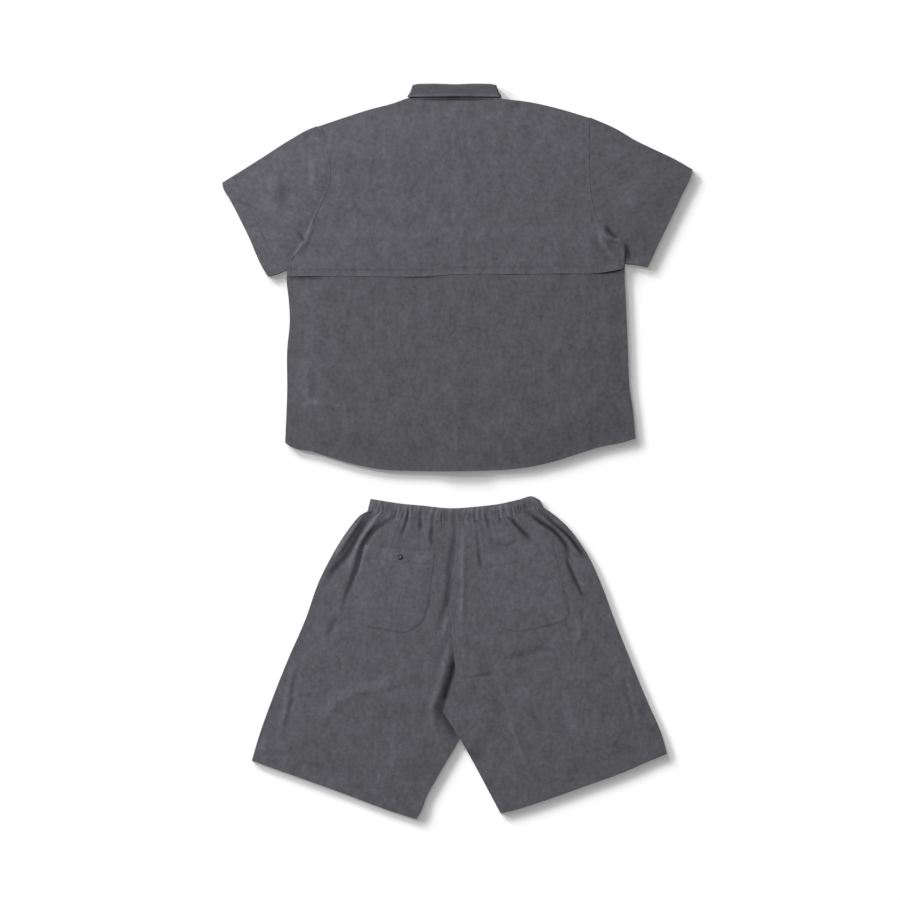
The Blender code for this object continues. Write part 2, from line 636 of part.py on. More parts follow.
def make_sleeves(denim):
    """Left and right sleeves."""
    left_arm, right_arm = armholes()
    make_sleeve("shirt_sleeve_left", SLEEVE_TOP_LEFT, SLEEVE_UNDER_LEFT, CUFF_LEFT, left_arm, -1, denim)
    make_sleeve("shirt_sleeve_right", SLEEVE_TOP_RIGHT, SLEEVE_UNDER_RIGHT, CUFF_RIGHT, right_arm, 1, denim)


def collar_half(rows, side, a, b, low_z, high_z):
    """Two lines of places on half the collar, from the centre front to the centre back."""
    radius = (high_z - low_z) / 2
    first, last = [], []
    for table, z in ((rows, low_z), ((side,), None), (COLLAR_BACK, high_z)):
        for row in table:
            place_a = np.array([getattr(row, a + "_x"), getattr(row, a + "_y")]) * MM
            place_b = np.array([getattr(row, b + "_x"), getattr(row, b + "_y")]) * MM
            turns = np.radians((-90, -45, 0, 45, 90)) if z is None else (0.0,)
            for turn in turns:
                height = (low_z + high_z) / 2 + radius * np.sin(turn) if z is None else z
                shift = radius * (1 - np.cos(turn)) if z is None else 0.0
                first.append((place_a[0] + shift, place_a[1], height))
                last.append((place_b[0] + shift, place_b[1], height))
    return np.array(first), np.array(last)


def whole_collar(half):
    """A line round the whole collar from its left half."""
    other = half[::-1][1:] * np.array([-1, 1, 1]) + np.array([2 * COLLAR_CENTRE_X * MM, 0, 0])
    return np.vstack([half, other])


def make_collar(denim):
    """Stand round the neck, and the fall that rolls over it and ends in two points at the front."""
    stand_side = COLLAR_SIDE._replace(
        neck_x=COLLAR_SIDE.neck_x + STAND_INSET, neck_y=COLLAR_SIDE.neck_y + STAND_RAISE,
        roll_x=COLLAR_SIDE.roll_x + STAND_INSET)
    fall_top = 3 * LAYER + GAP + CLOTH / 2
    layers = (
        ("collar_stand", stand_side, "neck", "roll", LAYER + CLOTH / 2, 2 * LAYER + CLOTH / 2, NECK_CLEAR),
        ("collar_fall", COLLAR_SIDE, "roll", "edge", CLOTH / 2, fall_top, 0.0),
    )
    for name, side, a, b, low_z, high_z, seam in layers:
        first, last = collar_half(COLLAR_FRONT, side, a, b, low_z, high_z)
        first = whole_collar(first) + np.array([0, seam, 0])
        last = whole_collar(last)
        share = np.linspace(0.0, 1.0, 3)[:, None, None]
        sheet(name, (1 - share) * first[None] + share * last[None], CLOTH, denim)


def make_front_buttons(button):
    """Row of buttons that lies under the centre front."""
    for number in range(BUTTON_COUNT):
        y = BUTTON_TOP_Y - number * BUTTON_PITCH
        disc(f"front_button_{number + 1}", (centre_x(y), y), 0.0, BUTTON_RADIUS, BUTTON_THICK, button)


# Shorts
def make_leg(name, hem, waist_shares, shares, inner, outseam, turn, level, denim):
    """Front or back of one leg; turn is -1 on the left."""
    low = curve(hem, shares)
    high = shifted(curve(WAIST, waist_shares), x=turn * GAP, y=-2 * GAP)
    lines = [curve(outseam, sum(steps for _, steps in inner)), shifted(chain(*inner), x=turn * GAP)]
    if turn > 0:
        lines.reverse()
    edges = (low, high, *lines)
    panel(name, edges, level, denim, shares=shares)


def make_legs(denim):
    """Left and right fronts on the surface, and left and right backs on them."""
    seam = (CENTRE_SEAM, CENTRE_SEAM_STEPS)
    left = ((INSEAM_LEFT, 8), (CROTCH_LEFT, 4), seam)
    left_front = ((INSEAM_LEFT, 4), (CROTCH_LEFT, 2), seam)
    right = ((INSEAM_RIGHT, 7), (CROTCH_RIGHT, 5), seam)
    even = np.linspace(0.0, 1.0, BACK_COLUMNS + 1)
    coarse = np.linspace(0.0, 1.0, FRONT_COLUMNS + 1)
    fine = np.array(RIGHT_FRONT_SHARES)
    make_leg("shorts_back_left", LEG_HEM_LEFT, even / 2, even, left, OUTSEAM_LEFT, -1,
             left_leg_level, denim)
    make_leg("shorts_front_left", LEG_HEM_LEFT, coarse / 2, coarse, left_front, OUTSEAM_LEFT, -1,
             flat_level, denim)
    make_leg("shorts_back_right", LEG_HEM_RIGHT, 0.5 + even / 2, even, right, OUTSEAM_RIGHT, 1,
             right_leg_level, denim)
    make_leg("shorts_front_right", LEG_HEM_RIGHT, 0.5 + fine / 2, fine, right, OUTSEAM_RIGHT, 1,
             right_leg_front_level, denim)


def make_waistband(denim):
    """Elastic waistband: a flattened tube whose upper layer is gathered into waves."""
    steps = BAND_WAVES * BAND_WAVE_STEPS
    top = curve(BAND_TOP, steps)
    low = curve(WAIST, steps)
    share = np.array([0.0, 0.5, 1.0])[:, None, None]
    upper_plan = (1 - share) * top[None] + share * low[None]
    lower_plan = upper_plan[:, ::BAND_WAVE_STEPS]
    end = np.minimum(np.arange(steps + 1), np.arange(steps + 1)[::-1]) / steps
    width = np.linalg.norm(low[-1] - low[0])
    near_end = smooth(end * width / BAND_BULGE_RAMP)
    wave = 0.5 - 0.5 * np.cos(2 * np.pi * BAND_WAVES * np.linspace(0.0, 1.0, steps + 1))
    rise = near_end * (BAND_BULGE + BAND_WAVE_HEIGHT * 2 * wave)
    low_z = BAND_CLOTH / 2
    upper = np.dstack([upper_plan, np.broadcast_to(low_z + BAND_CLOTH + GAP + rise, upper_plan.shape[:2])])
    lower = np.dstack([lower_plan, np.full(lower_plan.shape[:2], low_z)])
    nose = np.array([FOLD_NOSE, 0, (BAND_CLOTH + GAP) / 2])
    right_nose = lower[:, -1:] + nose
    left_nose = lower[:, :1] + nose * np.array([-1, 1, 1])
    rings = np.concatenate([lower, right_nose, upper[:, ::-1], left_nose], axis=1)
    tube("shorts_waistband", rings, BAND_CLOTH, denim)


def pocket_patch(pocket):
    """Four edges of a pocket."""
    return (curve(pocket["low"], POCKET_COLUMNS), curve(pocket["high"], POCKET_COLUMNS),
            curve(pocket["left"], POCKET_ROWS), curve(pocket["right"], POCKET_ROWS))


def make_pockets(denim, button):
    """Two patch pockets on the backs, and the button near the top of the left one."""
    lift = CLOTH + POCKET_GAP
    panel("shorts_pocket_left", pocket_patch(POCKET_LEFT), left_leg_level, denim, lift)
    panel("shorts_pocket_right", pocket_patch(POCKET_RIGHT), right_leg_level, denim, lift)
    place = np.array(POCKET_BUTTON) * MM
    z = left_leg_level(place[:1], place[1:])[0] + lift + CLOTH + GAP
    disc("pocket_button", place, z, POCKET_BUTTON_RADIUS, BUTTON_THICK, button)


def main():
    """Clear the scene and make every piece."""
    for old in list(bpy.data.objects):
        bpy.data.objects.remove(old, do_unlink=True)
    denim = material("denim", DENIM_COLOUR, 0.85)
    button = material("button", BUTTON_COLOUR, 0.4)
    make_cape(denim)
    make_lower_back(denim)
    make_fronts(denim)
    make_sleeves(denim)
    make_collar(denim)
    make_front_buttons(button)
    make_legs(denim)
    make_waistband(denim)
    make_pockets(denim, button)


main()
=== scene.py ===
"""Looks of the denim shirt and shorts set, laid flat on its front.

Metres, +Z up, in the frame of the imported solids. Tables of places and of creases are in millimetres. Each
piece of cloth is a thin shell on the form of its solid, with its creases, seams and hems.
"""
from collections import namedtuple

import bmesh
import bpy
import numpy as np
from mathutils import Matrix, Vector


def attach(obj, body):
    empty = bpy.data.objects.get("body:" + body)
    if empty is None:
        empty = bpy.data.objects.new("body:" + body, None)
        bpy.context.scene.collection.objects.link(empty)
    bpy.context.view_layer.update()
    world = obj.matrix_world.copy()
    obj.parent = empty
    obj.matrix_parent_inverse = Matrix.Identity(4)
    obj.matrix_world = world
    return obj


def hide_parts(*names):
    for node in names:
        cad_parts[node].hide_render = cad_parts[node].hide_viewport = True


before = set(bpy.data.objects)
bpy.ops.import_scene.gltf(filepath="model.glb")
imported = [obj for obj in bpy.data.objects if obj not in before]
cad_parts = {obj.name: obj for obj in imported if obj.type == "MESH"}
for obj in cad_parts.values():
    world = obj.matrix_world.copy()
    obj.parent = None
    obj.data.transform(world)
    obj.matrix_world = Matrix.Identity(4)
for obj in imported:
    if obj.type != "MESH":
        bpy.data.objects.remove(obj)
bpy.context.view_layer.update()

MM = 0.001
TINY = 1e-12

# Cloth, seams and the forms of the layers
CLOTH = 0.0012
GAP = 0.0003
SEWN_GAP = 0.00006
LAYER = CLOTH + GAP
FOLD_NOSE = 0.0009
SHIRT_CROWN = 0.0036
SHORTS_CROWN = 0.0018
CROWN_RAMP = 0.070
CENTRE_TOP = (-5, 611)
CENTRE_HEM = (5, -39)
PLACKET_HALF = 0.015
PLACKET_RAMP = 0.022
PLACKET_MARGIN = 0.020
PLACKET_END_Y = 0.618
FRONT_HEM_RISE = 0.006
BUTTON_RADIUS = 0.0055
BUTTON_THICK = 0.0018
BUTTON_COUNT = 6
BUTTON_TOP_Y = 0.540
BUTTON_PITCH = 0.085
BUTTON_LIFT = BUTTON_THICK + GAP
BUTTON_LIFT_RAMP = 0.045
BUTTON_LIFT_REACH = 0.040
CAPE_UNDERLAP_Y = 0.412
UNDERLAP_SHARE = 2 / 12
LAP_CLEAR = 0.0001
CAPE_LIFT_RAMP = 0.030
CAPE_EDGE_REACH = 0.018
COLLAR_CENTRE_X = -5
STAND_INSET = 4.4
STAND_RAISE = 3
NECK_CLEAR = 0.0010
LEAF_MARGIN = 0.022
LEAF_RAMP = 0.040
CROTCH_MARGIN = 0.014
CROTCH_RAMP = 0.034
CROTCH_BACK_MARGIN = 0.021
CROTCH_CLEAR = 0.0006
BAND_CLEAR_Y = -40
BAND_WAVES = 23
BAND_WAVE_HEIGHT = 0.0011
BAND_BULGE = 0.0014
BAND_BULGE_RAMP = 0.018
SOFT_MAX = 0.0004

# Grids of the cloth: steps between places, and the finer zone along the edges
TOP_STEP = 0.0032
UNDER_STEP = 0.0062
POCKET_STEP = 0.0021
EDGE_STEP = 0.0014
EDGE_ZONE = 0.0140
EDGE_ROUND = 0.0002
NOSE_TURNS = (-62, -31, 0, 31, 62)
LINE_STEPS = 400
SEAM_STEPS = 60
CURVE_FINENESS = 40
RASTER_STEP = 0.004
RASTER_MARGIN = 0.040
RASTER_BLURS = 16

# Shirt outline
SHOULDER_LEFT = ((-272, 633), (-222, 650), (-172, 666), (-117, 681), (-101, 687))
SHOULDER_RIGHT = ((91, 687), (141, 681), (206, 666), (259, 650))
SIDE_LEFT = ((-335, 17), (-331, 120), (-331, 198), (-326, 256), (-328, 295), (-332, 334), (-331, 354))
SIDE_RIGHT = ((348, 25), (343, 80), (337, 120), (333, 198), (329, 295), (327, 334), (327, 366))
ARMHOLE_LEFT = ((-331, 354), (-329, 376), (-316, 393), (-303, 414), (-284, 457), (-272, 484), (-258, 516),
                (-254, 550), (-264, 597), (-272, 633))
ARMHOLE_RIGHT = ((327, 366), (326, 388), (315, 404), (292, 419), (278, 444), (267, 478), (261, 512),
                 (259, 560), (259, 650))
HEM_LEFT = ((-335, 17), (-328, 11), (-281, -1), (-234, -16), (-188, -28), (-141, -36), (-95, -38),
            (-21, -39), (20, -39))
HEM_RIGHT = ((-10, -39), (46, -38), (93, -36), (138, -31), (185, -21), (230, -7), (278, 8), (326, 18),
             (348, 25))
SLEEVE_TOP_LEFT = ((-272, 633), (-288, 627), (-324, 607), (-385, 568), (-415, 549), (-457, 523))
SLEEVE_TOP_RIGHT = ((259, 650), (311, 627), (344, 607), (383, 588), (425, 568), (459, 548))
SLEEVE_UNDER_LEFT = ((-331, 354), (-350, 346), (-369, 342))
SLEEVE_UNDER_RIGHT = ((327, 366), (350, 364), (372, 360))
CUFF_LEFT = ((-369, 342), (-376, 353), (-408, 423), (-443, 492), (-456, 515), (-457, 523))
CUFF_RIGHT = ((372, 360), (379, 374), (387, 392), (415, 450), (443, 509), (454, 531), (459, 548))
CAPE_EDGE = ((-328, 341), (-228, 341), (-111, 340), (-47, 341), (-10, 344), (123, 345), (200, 346),
             (273, 347), (324, 355))

# Collar, from the centre front round the left side to the centre back: neck seam, roll and free edge
Collar = namedtuple("Collar", "neck_x neck_y roll_x roll_y edge_x edge_y")
COLLAR_FRONT = (
    Collar(-6, 611, -7, 634, -8, 622),
    Collar(-22, 616, -20, 640, -26, 592),
    Collar(-42, 630, -36, 650, -46, 560),
    Collar(-64, 654, -54, 668, -64, 584),
    Collar(-84, 674, -70, 690, -82, 628),
)
COLLAR_SIDE = Collar(-101, 687, -86, 714, -94, 690)
COLLAR_BACK = (
    Collar(-88, 691, -76, 716, -82, 690.5),
    Collar(-45, 694, -42, 716.5, -42, 691),
    Collar(-5, 695, -5, 715, -5, 691.5),
)

# Shorts outline
OUTSEAM_LEFT = ((-400, -603), (-386, -555), (-361, -485), (-330, -407), (-296, -329), (-268, -251),
                (-248, -211), (-224, -170), (-204, -142), (-188, -124), (-173, -116))
OUTSEAM_RIGHT = ((409, -590), (400, -555), (370, -485), (338, -407), (307, -329), (278, -251), (260, -211),
                 (234, -170), (211, -142), (190, -124), (167, -108))
LEG_HEM_LEFT = ((-400, -603), (-313, -634), (-235, -662), (-118, -705), (-79, -717))
LEG_HEM_RIGHT = ((85, -706), (111, -700), (165, -683), (247, -654), (329, -624), (382, -601),
                 (409, -590))
NOTCH = (6, -560)
INSEAM_LEFT = ((-79, -717), (-71, -704), (-59, -673), (-42, -642), (-24, -611), NOTCH, (33, -495))
INSEAM_RIGHT = ((85, -706), (61, -661), (35, -612), NOTCH, (-27, -508))
CROTCH_LEFT = ((33, -495), (12, -440), (-7, -397))
CROTCH_RIGHT = ((-27, -508), (-13, -465), (-3, -426), (-7, -397))
CENTRE_SEAM = ((-7, -397), (-13, -339), (-19, -274), (-7, -216), (-2, -136))
WAIST = ((-173, -116), (-117, -126), (-78, -130), (-49, -133), (-2, -136), (37, -134), (84, -130),
         (121, -122), (167, -108))
BAND_TOP = ((-167, -93), (-109, -102), (-66, -106), (-14, -111), (37, -108), (86, -102), (121, -94),
            (148, -88), (160, -94))

# Back pockets, each by its four edges
POCKET_LEFT = {
    "low": ((-207, -313), (-183, -338), (-148, -346), (-99, -352), (-66, -332)),
    "high": ((-180, -182), (-109, -192), (-43, -196)),
    "left": ((-207, -313), (-195, -250), (-180, -182)),
    "right": ((-66, -332), (-58, -305), (-51, -260), (-43, -196)),
}
POCKET_RIGHT = {
    "low": ((83, -344), (109, -350), (172, -341), (206, -332)),
    "high": ((50, -204), (101, -194), (185, -167)),
    "left": ((83, -344), (70, -319), (58, -257), (50, -204)),
    "right": ((206, -332), (216, -322), (214, -290), (203, -245), (185, -167)),
}
POCKET_BUTTON = (-113, -204)
POCKET_BUTTON_RADIUS = 0.0054

# Creases: line, spread to each side, height, and tone as a share; troughs are negative, and the tone is
# painted shade where negative and painted highlight where positive
Crease = namedtuple("Crease", "line width height tone", defaults=(0,))
SHIRT_CREASES = (
    Crease(((45, 671), (72, 668), (98, 661)), 4, -0.6),
    Crease(((98, 662), (113, 670), (129, 675)), 5, -0.6),
    Crease(((-199, 371), (-199, 358), (-199, 344)), 3.5, -0.7),
    Crease(((-131, 373), (-130, 358), (-131, 344)), 3.5, -0.8),
    Crease(((127, 369), (127, 358), (129, 344)), 3, -0.7),
    Crease(((137, 365), (136, 356), (138, 344)), 3, -0.6),
    Crease(((-21, 367), (-16, 358), (-8, 344)), 3.5, -1.2),
    Crease(((-275, 463), (-294, 410), (-322, 373)), 4.5, 1.6, 0.04),
    Crease(((273, 434), (289, 402), (322, 361)), 4, 2.2, 0.06),
    Crease(((263, 428), (279, 393), (308, 358)), 6, -0.9),
    Crease(((-279, 580), (-279, 545), (-275, 510)), 6, 1.2),
    Crease(((-335, 556), (-335, 510), (-335, 457)), 12, -1),
    Crease(((-353, 549), (-357, 496), (-351, 439)), 14, 0.9),
    Crease(((-312, 428), (-303, 417), (-294, 404)), 3.5, -1.4, -0.30),
    Crease(((279, 443), (294, 416), (314, 408), (325, 397), (326, 371)), 4.5, 2.3, 0.04),
    Crease(((288, 444), (300, 424), (318, 412)), 5, -1.5, -0.50),
    Crease(((327, 408), (334, 388), (334, 366)), 5, -1.5, -0.45),
    Crease(((-292, 190), (-291, 139), (-296, 84)), 10, 0.9),
    Crease(((-281, 182), (-279, 139), (-285, 92)), 9, -0.4),
    Crease(((-310, 86), (-273, 93), (-234, 86)), 7, 1.2),
    Crease(((-326, 59), (-314, 53), (-300, 51)), 9, -0.9),
    Crease(((162, 642), (185, 625), (201, 595)), 12, 0.5),
    Crease(((-166, 662), (-193, 638), (-209, 603)), 12, 0.5),
    Crease(((298, 295), (291, 237), (302, 174)), 12, 0.8),
    Crease(((-72, -1), (25, 10), (123, -1)), 14, 0.4),
    Crease(((357, 533), (345, 490), (349, 447)), 12, 0.8),
)
SHORTS_CREASES = (
    Crease(((-177, -120), (-216, -173), (-242, -216)), 6, 2.4),
    Crease(((-150, -106), (-181, -139), (-199, -173), (-214, -198), (-246, -236), (-262, -274)), 6.5, -2.2,
           -0.52),
    Crease(((-142, -106), (-170, -149), (-189, -175), (-199, -201), (-210, -250)), 5, 2.2, 0.06),
    Crease(((-98, -112), (-134, -136), (-158, -151), (-174, -170), (-184, -190), (-190, -216), (-212, -270),
            (-230, -330)), 4.5, -2.1, -0.44),
    Crease(((-138, -168), (-146, -200), (-152, -232)), 8, -0.6, -0.06),
    Crease(((-71, -108), (-70, -134), (-71, -162)), 3.6, -1.6, -0.34),
    Crease(((-47, -142), (-49, -165), (-48, -192)), 3.6, -1.2, -0.32),
    Crease(((-92, -116), (-98, -140), (-109, -172)), 3.6, -1.2, -0.12),
    Crease(((-3, -116), (-4, -155), (-7, -190), (-14, -233), (-14, -274), (-25, -313), (-33, -335),
            (-49, -372)), 6.5, -1.5, -0.14),
    Crease(((12, -142), (13, -212), (11, -290), (8, -372)), 5.5, 1.6),
    Crease(((-20, -321), (-22, -344), (-25, -368)), 4, 1.1),
    Crease(((36, -100), (37, -122), (37, -148)), 3.4, -1.5, -0.40),
    Crease(((37, -140), (44, -196), (50, -246)), 4, -1.4, -0.16),
    Crease(((62, -116), (62, -136), (61, -158)), 3.4, -1, -0.18),
    Crease(((83, -104), (84, -126), (84, -148)), 3.4, -1.2, -0.22),
    Crease(((92, -120), (120, -148), (150, -180)), 3.8, -1.6, -0.56),
    Crease(((122, -106), (168, -142), (189, -155), (200, -168), (210, -180), (216, -196), (222, -222)),
           4.4, -1.9, -0.66),
    Crease(((150, -108), (172, -126), (192, -144), (213, -162), (231, -183), (256, -220)), 3.6, -1.2, -0.86),
    Crease(((160, -118), (182, -137), (204, -158), (223, -181), (236, -208)), 4, 1.9, 0.06),
    Crease(((210, -196), (219, -226), (227, -244), (236, -262), (250, -292)), 3.6, -1.5, -0.56),
    Crease(((230, -213), (240, -243), (255, -284)), 7, 1.3),
    Crease(((240, -300), (244, -322), (243, -348)), 4, -0.8, -0.12),
    Crease(((70, -177), (96, -185), (125, -171)), 4, -1),
    Crease(((-232, -319), (-240, -341), (-250, -366)), 6, -1.7),
    Crease(((-53, -436), (-103, -456), (-141, -470), (-185, -479), (-232, -505), (-244, -526), (-273, -567),
            (-296, -594)), 8, -0.5),
    Crease(((-57, -422), (-107, -440), (-158, -460), (-205, -475), (-248, -500), (-279, -547)), 14, 1.1),
    Crease(((-310, -399), (-326, -453), (-329, -485), (-340, -532), (-347, -571)), 5, 1.2),
    Crease(((-302, -403), (-317, -454), (-321, -485), (-332, -532), (-339, -571)), 4, -1.0),
    Crease(((-382, -555), (-375, -573), (-384, -596)), 6, 1.1),
    Crease(((2, -441), (45, -437), (86, -432)), 3.6, -1, -0.10),
    Crease(((4, -460), (21, -460), (45, -460)), 4, -0.8),
    Crease(((86, -409), (148, -393), (185, -380)), 9, -1.2),
    Crease(((96, -508), (109, -545), (123, -577), (142, -616), (154, -635)), 5, 1.5),
    Crease(((80, -484), (68, -514), (51, -553), (33, -586), (20, -610)), 12, 0, 0.14),
    Crease(((246, -321), (242, -352), (232, -387)), 8, 1.3),
    Crease(((320, -426), (337, -489), (351, -541)), 4, -1.1),
    Crease(((329, -426), (346, -489), (360, -541)), 5, 1.1),
    Crease(((302, -378), (314, -417), (330, -465)), 12, 0.9),
    Crease(((-111, -573), (-127, -621), (-150, -660)), 14, 0.9),
    Crease(((201, -465), (230, -524), (248, -586)), 14, 0.9),
)
# Painted highlight along the cape's free edge, painted shadow under the collar's edge, and painted shadow on
# the lower back just under the cape's edge
CAPE_TONES = (
    Crease(((-440, 342), (-228, 342), (-111, 341), (-47, 342), (-10, 345), (123, 346), (200, 347), (273, 348),
            (440, 357)), 3.0, 0, 0.13),
    Crease(((-104, 687.0), (-44, 686.2), (26, 686.2), (86, 687.0)), 3.0, -0.3, -0.70),
)
UNDER_CAPE_TONES = (
    Crease(((-345, 338), (-300, 338), (-250, 338)), 3.4, 0, -0.48),
    Crease(((-130, 337), (-73, 338), (-20, 340)), 3.0, 0, -0.32),
    Crease(((250, 344), (290, 347), (350, 353)), 3.2, 0, -0.36),
)
# Left leg beside the right leg's edge: the roll of cloth, and the deep gap that it falls into, with painted
# shadow on the roll, in the gap and beside the edge
GAP_CREASES = (
    Crease(((-12, -362), (-23, -424), (-34, -465), (-46, -502), (-40, -538), (-18, -574)), 7.5, 3.0, -0.16),
    Crease(((-3, -378), (-6, -405), (-10, -426), (-20, -462), (-35, -512)), 6.6, 0, -0.94),
    Crease(((-50, -480), (-31, -508), (-18, -531), (-7, -549), (8, -572)), 9, 0, -0.56),
)
FRONT_CREASES = (
    Crease(((-262, 430), (-214, 402), (-150, 392)), 8, 0.7),
    Crease(((-290, 250), (-240, 262), (-176, 250)), 9, 0.6),
    Crease(((-240, 90), (-205, 130), (-192, 190)), 8, 0.7),
    Crease(((262, 420), (208, 396), (160, 398)), 8, 0.7),
    Crease(((284, 210), (236, 190), (180, 204)), 9, 0.6),
    Crease(((120, 60), (150, 110), (152, 170)), 8, 0.6),
    Crease(((-110, 470), (-96, 420), (-104, 360)), 9, 0.5),
    Crease(((96, 330), (112, 280), (104, 220)), 9, 0.5),
)
LEG_FRONT_CREASES = (
    Crease(((-140, -150), (-176, -230), (-214, -330)), 8, 0.8),
    Crease(((-90, -150), (-110, -220), (-120, -300)), 8, 0.6),
    Crease(((-60, -440), (-140, -470), (-230, -540)), 9, 0.8),
    Crease(((-290, -420), (-300, -480), (-322, -540)), 8, 0.6),
    Crease(((120, -150), (160, -220), (196, -310)), 8, 0.8),
    Crease(((70, -150), (84, -220), (92, -290)), 8, 0.6),
    Crease(((110, -450), (190, -500), (250, -560)), 9, 0.8),
    Crease(((290, -400), (312, -470), (330, -530)), 8, 0.6),
)
CREASE_STEPS = 12
CREASE_FADE = 3.2
CREASE_REACH = 3.2
CREASE_SHADE = 0.150
DARKEST = -0.85
LEG_FRONT_DEPTH = 0.8

# Soft swells that are left in cloth smoothed out by hand
Swell = namedtuple("Swell", "length turn phase height")
SWELLS = (
    Swell(118, 14, 0.4, 0.22),
    Swell(83, 72, 2.1, 0.16),
    Swell(151, 118, 4.0, 0.24),
    Swell(61, 151, 1.2, 0.10),
    Swell(47, 38, 5.2, 0.07),
)
SHORTS_SWELLS = 0.8

# Places where the cape's free edge stands up, along X
Lift = namedtuple("Lift", "x width height")
CAPE_LIFTS = (
    Lift(-298, 22, 1.0),
    Lift(-73, 30, 0.7),
    Lift(110, 34, 0.3),
    Lift(200, 40, 0.4),
    Lift(302, 22, 1.9),
)

# Hems and felled seams: how wide the doubled cloth is and how far it stands up
ARMHOLE_BAND = 9.0
CAPE_HEM = 14.0
SHIRT_HEM = 6.0
CUFF_HEM = 27.0
LEG_HEM = 33.0
POCKET_HEM = 24.0
POCKET_EDGE = 2.2
COLLAR_EDGE = 3.4
COLLAR_EDGE_HIGHLIGHT = 0.34
COLLAR_EDGE_WIDTH = 0.0013
BAND_RISE = 0.00030
SOFT_RISE = 0.00010
HEM_RISE = 0.00030
CAPE_HEM_RISE = 0.00008
CAPE_THIN_EDGE = 0.016
CAPE_THINNER = 0.00080
BAND_SOFT = 0.0016
BAND_MARGIN = 0.008
GROOVE_DEPTH = 0.00018
GROOVE_WIDTH = 0.0016
GROOVE_REACH = 0.0064
HEM_PUCKER = 0.00022
PUCKER_WIDTH = 8.0
PUCKER_RUNS = (0.0041, 0.0310, 0.0113)
PUCKER_DRIFT = 2.2
BAND_FADE = 0.9
BAND_SHADE = 0.030
GROOVE_SHADE = 0.035

# Gathers at the waist
FINE_WAVES = 41
FINE_GATHERS = 0.34
GATHER_FADE = 0.027
GATHER_HEIGHT = 0.0021
GATHER_DRIFTS = ((3.1, 1.0, 0.0080), (7.3, 2.4, 0.0060), (12.6, 0.3, 0.0036))
GATHER_POWER = 0.9
GATHER_MIDDLE = 0.4
Wave = namedtuple("Wave", "base swing waves phase")
GATHER_SIZE = Wave(0.70, 0.30, 5.3, 0.7)
GATHER_REACH = Wave(0.75, 0.5, 6.7, 1.9)

# Collar, waistband and pockets
COLLAR_PLACES = 260
COLLAR_ROWS = 16
COLLAR_PITCH = 0.0016
COLLAR_TURNS = (-90, -60, -30, 0, 30, 60, 90)
COLLAR_SOFTENING = 3
COLLAR_ROLL = 0.0045
COLLAR_ROLL_DROP = 0.0014
BAND_PLACES = 400
BAND_ROWS = 12
BAND_SLANT = 0.014
BAND_JOIN = 1.15
BAND_JOIN_WAVE = 0.4
BAND_SWELL = (0.12, 0.88)
BAND_TONE = 0.34
BAND_TONE_MIDDLE = 0.55
POCKET_LOOSE = 0.0003
POCKET_LOOSE_RAMP = 0.020
POCKET_STRIDE = 12
POCKET_CLOTH = 0.0005
POCKET_STITCH = 1.4
POCKET_THINNER = 0.00020
# A fold across the left pocket, drawn only as painted shade: its height sets only the tone
POCKET_CREASES = (
    Crease(((-150, -255), (-151, -290), (-150, -328)), 4, -0.5),
)

# Buttons: outline of half a section as shares of the radius and the thickness, holes and thread
BUTTON_PROFILE = ((0.90, 0.0), (0.985, 0.16), (1.0, 0.45), (0.97, 0.80), (0.90, 0.97), (0.82, 1.0),
                  (0.72, 0.94), (0.62, 0.74), (0.50, 0.68))
BUTTON_SEGMENTS = 40
BUTTON_HOLE = 0.13
BUTTON_HOLE_SPREAD = 0.21
BUTTON_HOLE_SEGMENTS = 12
BUTTON_SHARP = 35
BUTTON_THREAD = 0.00032
BUTTON_SUNK = 0.45

# Stitches
STITCH_PITCH = 0.0032
STITCH_LENGTH = 0.0024
STITCH_RADIUS = 0.00030
STITCH_SIDES = 6
STITCH_SUNK = 0.45
STITCH_START = 0.2
STITCH_ENDS = (0.012, 0.988)
CUFF_STITCH_ENDS = (0.04, 0.97)
LEG_STITCH_ENDS = (0.05, 0.93)
POCKET_STITCH_ENDS = (0.02, 0.98)
ARMHOLE_STITCHES = (1.8, 7.6)
CENTRE_STITCHES = (1.6, 6.6)
CAPE_STITCHES = CAPE_HEM - 0.5
HEM_STITCH_INSET = 0.8
STITCH_PROFILE = ((0.0, 0.25), (0.16, 0.8), (0.5, 1.0), (0.84, 0.8), (1.0, 0.25))

# Threads of the cloth, with spots across and along the grain and their weight, and its finish
WEAVE_PITCH = 0.0011
WEAVE_TONE = 0.05
Thread = namedtuple("Thread", "across along weight")
THREADS = (
    Thread(0.0020, 0.0120, 0.19),
    Thread(0.0120, 0.0022, 0.21),
    Thread(0.0080, 0.0095, 0.43),
    Thread(0.0230, 0.0360, 0.36),
)
TONES = ((0.12, 0.50), (0.40, 0.88), (0.60, 1.12), (0.90, 1.62))
HEATHER_RELIEF = 1.6
WEAVE_RELIEF = 0.35
GRAIN_STRENGTH = 0.55
GRAIN_DEPTH = 0.00016
DENIM_ROUGH = 0.94
HEATHER_ROUGH = -0.12
DENIM_GLOSS = 0.22
DENIM_SHEEN = 0.06
DENIM_SHEEN_ROUGH = 0.6

# Finish of the sewing thread and the buttons
THREAD_TONES = ((0.3, 0.75), (0.7, 1.25))
THREAD_SPOT = (0.0016, 0.0016)
THREAD_ROUGH = 0.7
THREAD_GLOSS = 0.3
BUTTON_TONES = ((0.35, 0.7), (0.7, 1.8))
BUTTON_SPOT = (0.0035, 0.0022)
BUTTON_DETAIL = 3.0
BUTTON_ROUGH = 0.28
BUTTON_CLOUD_ROUGH = 0.18

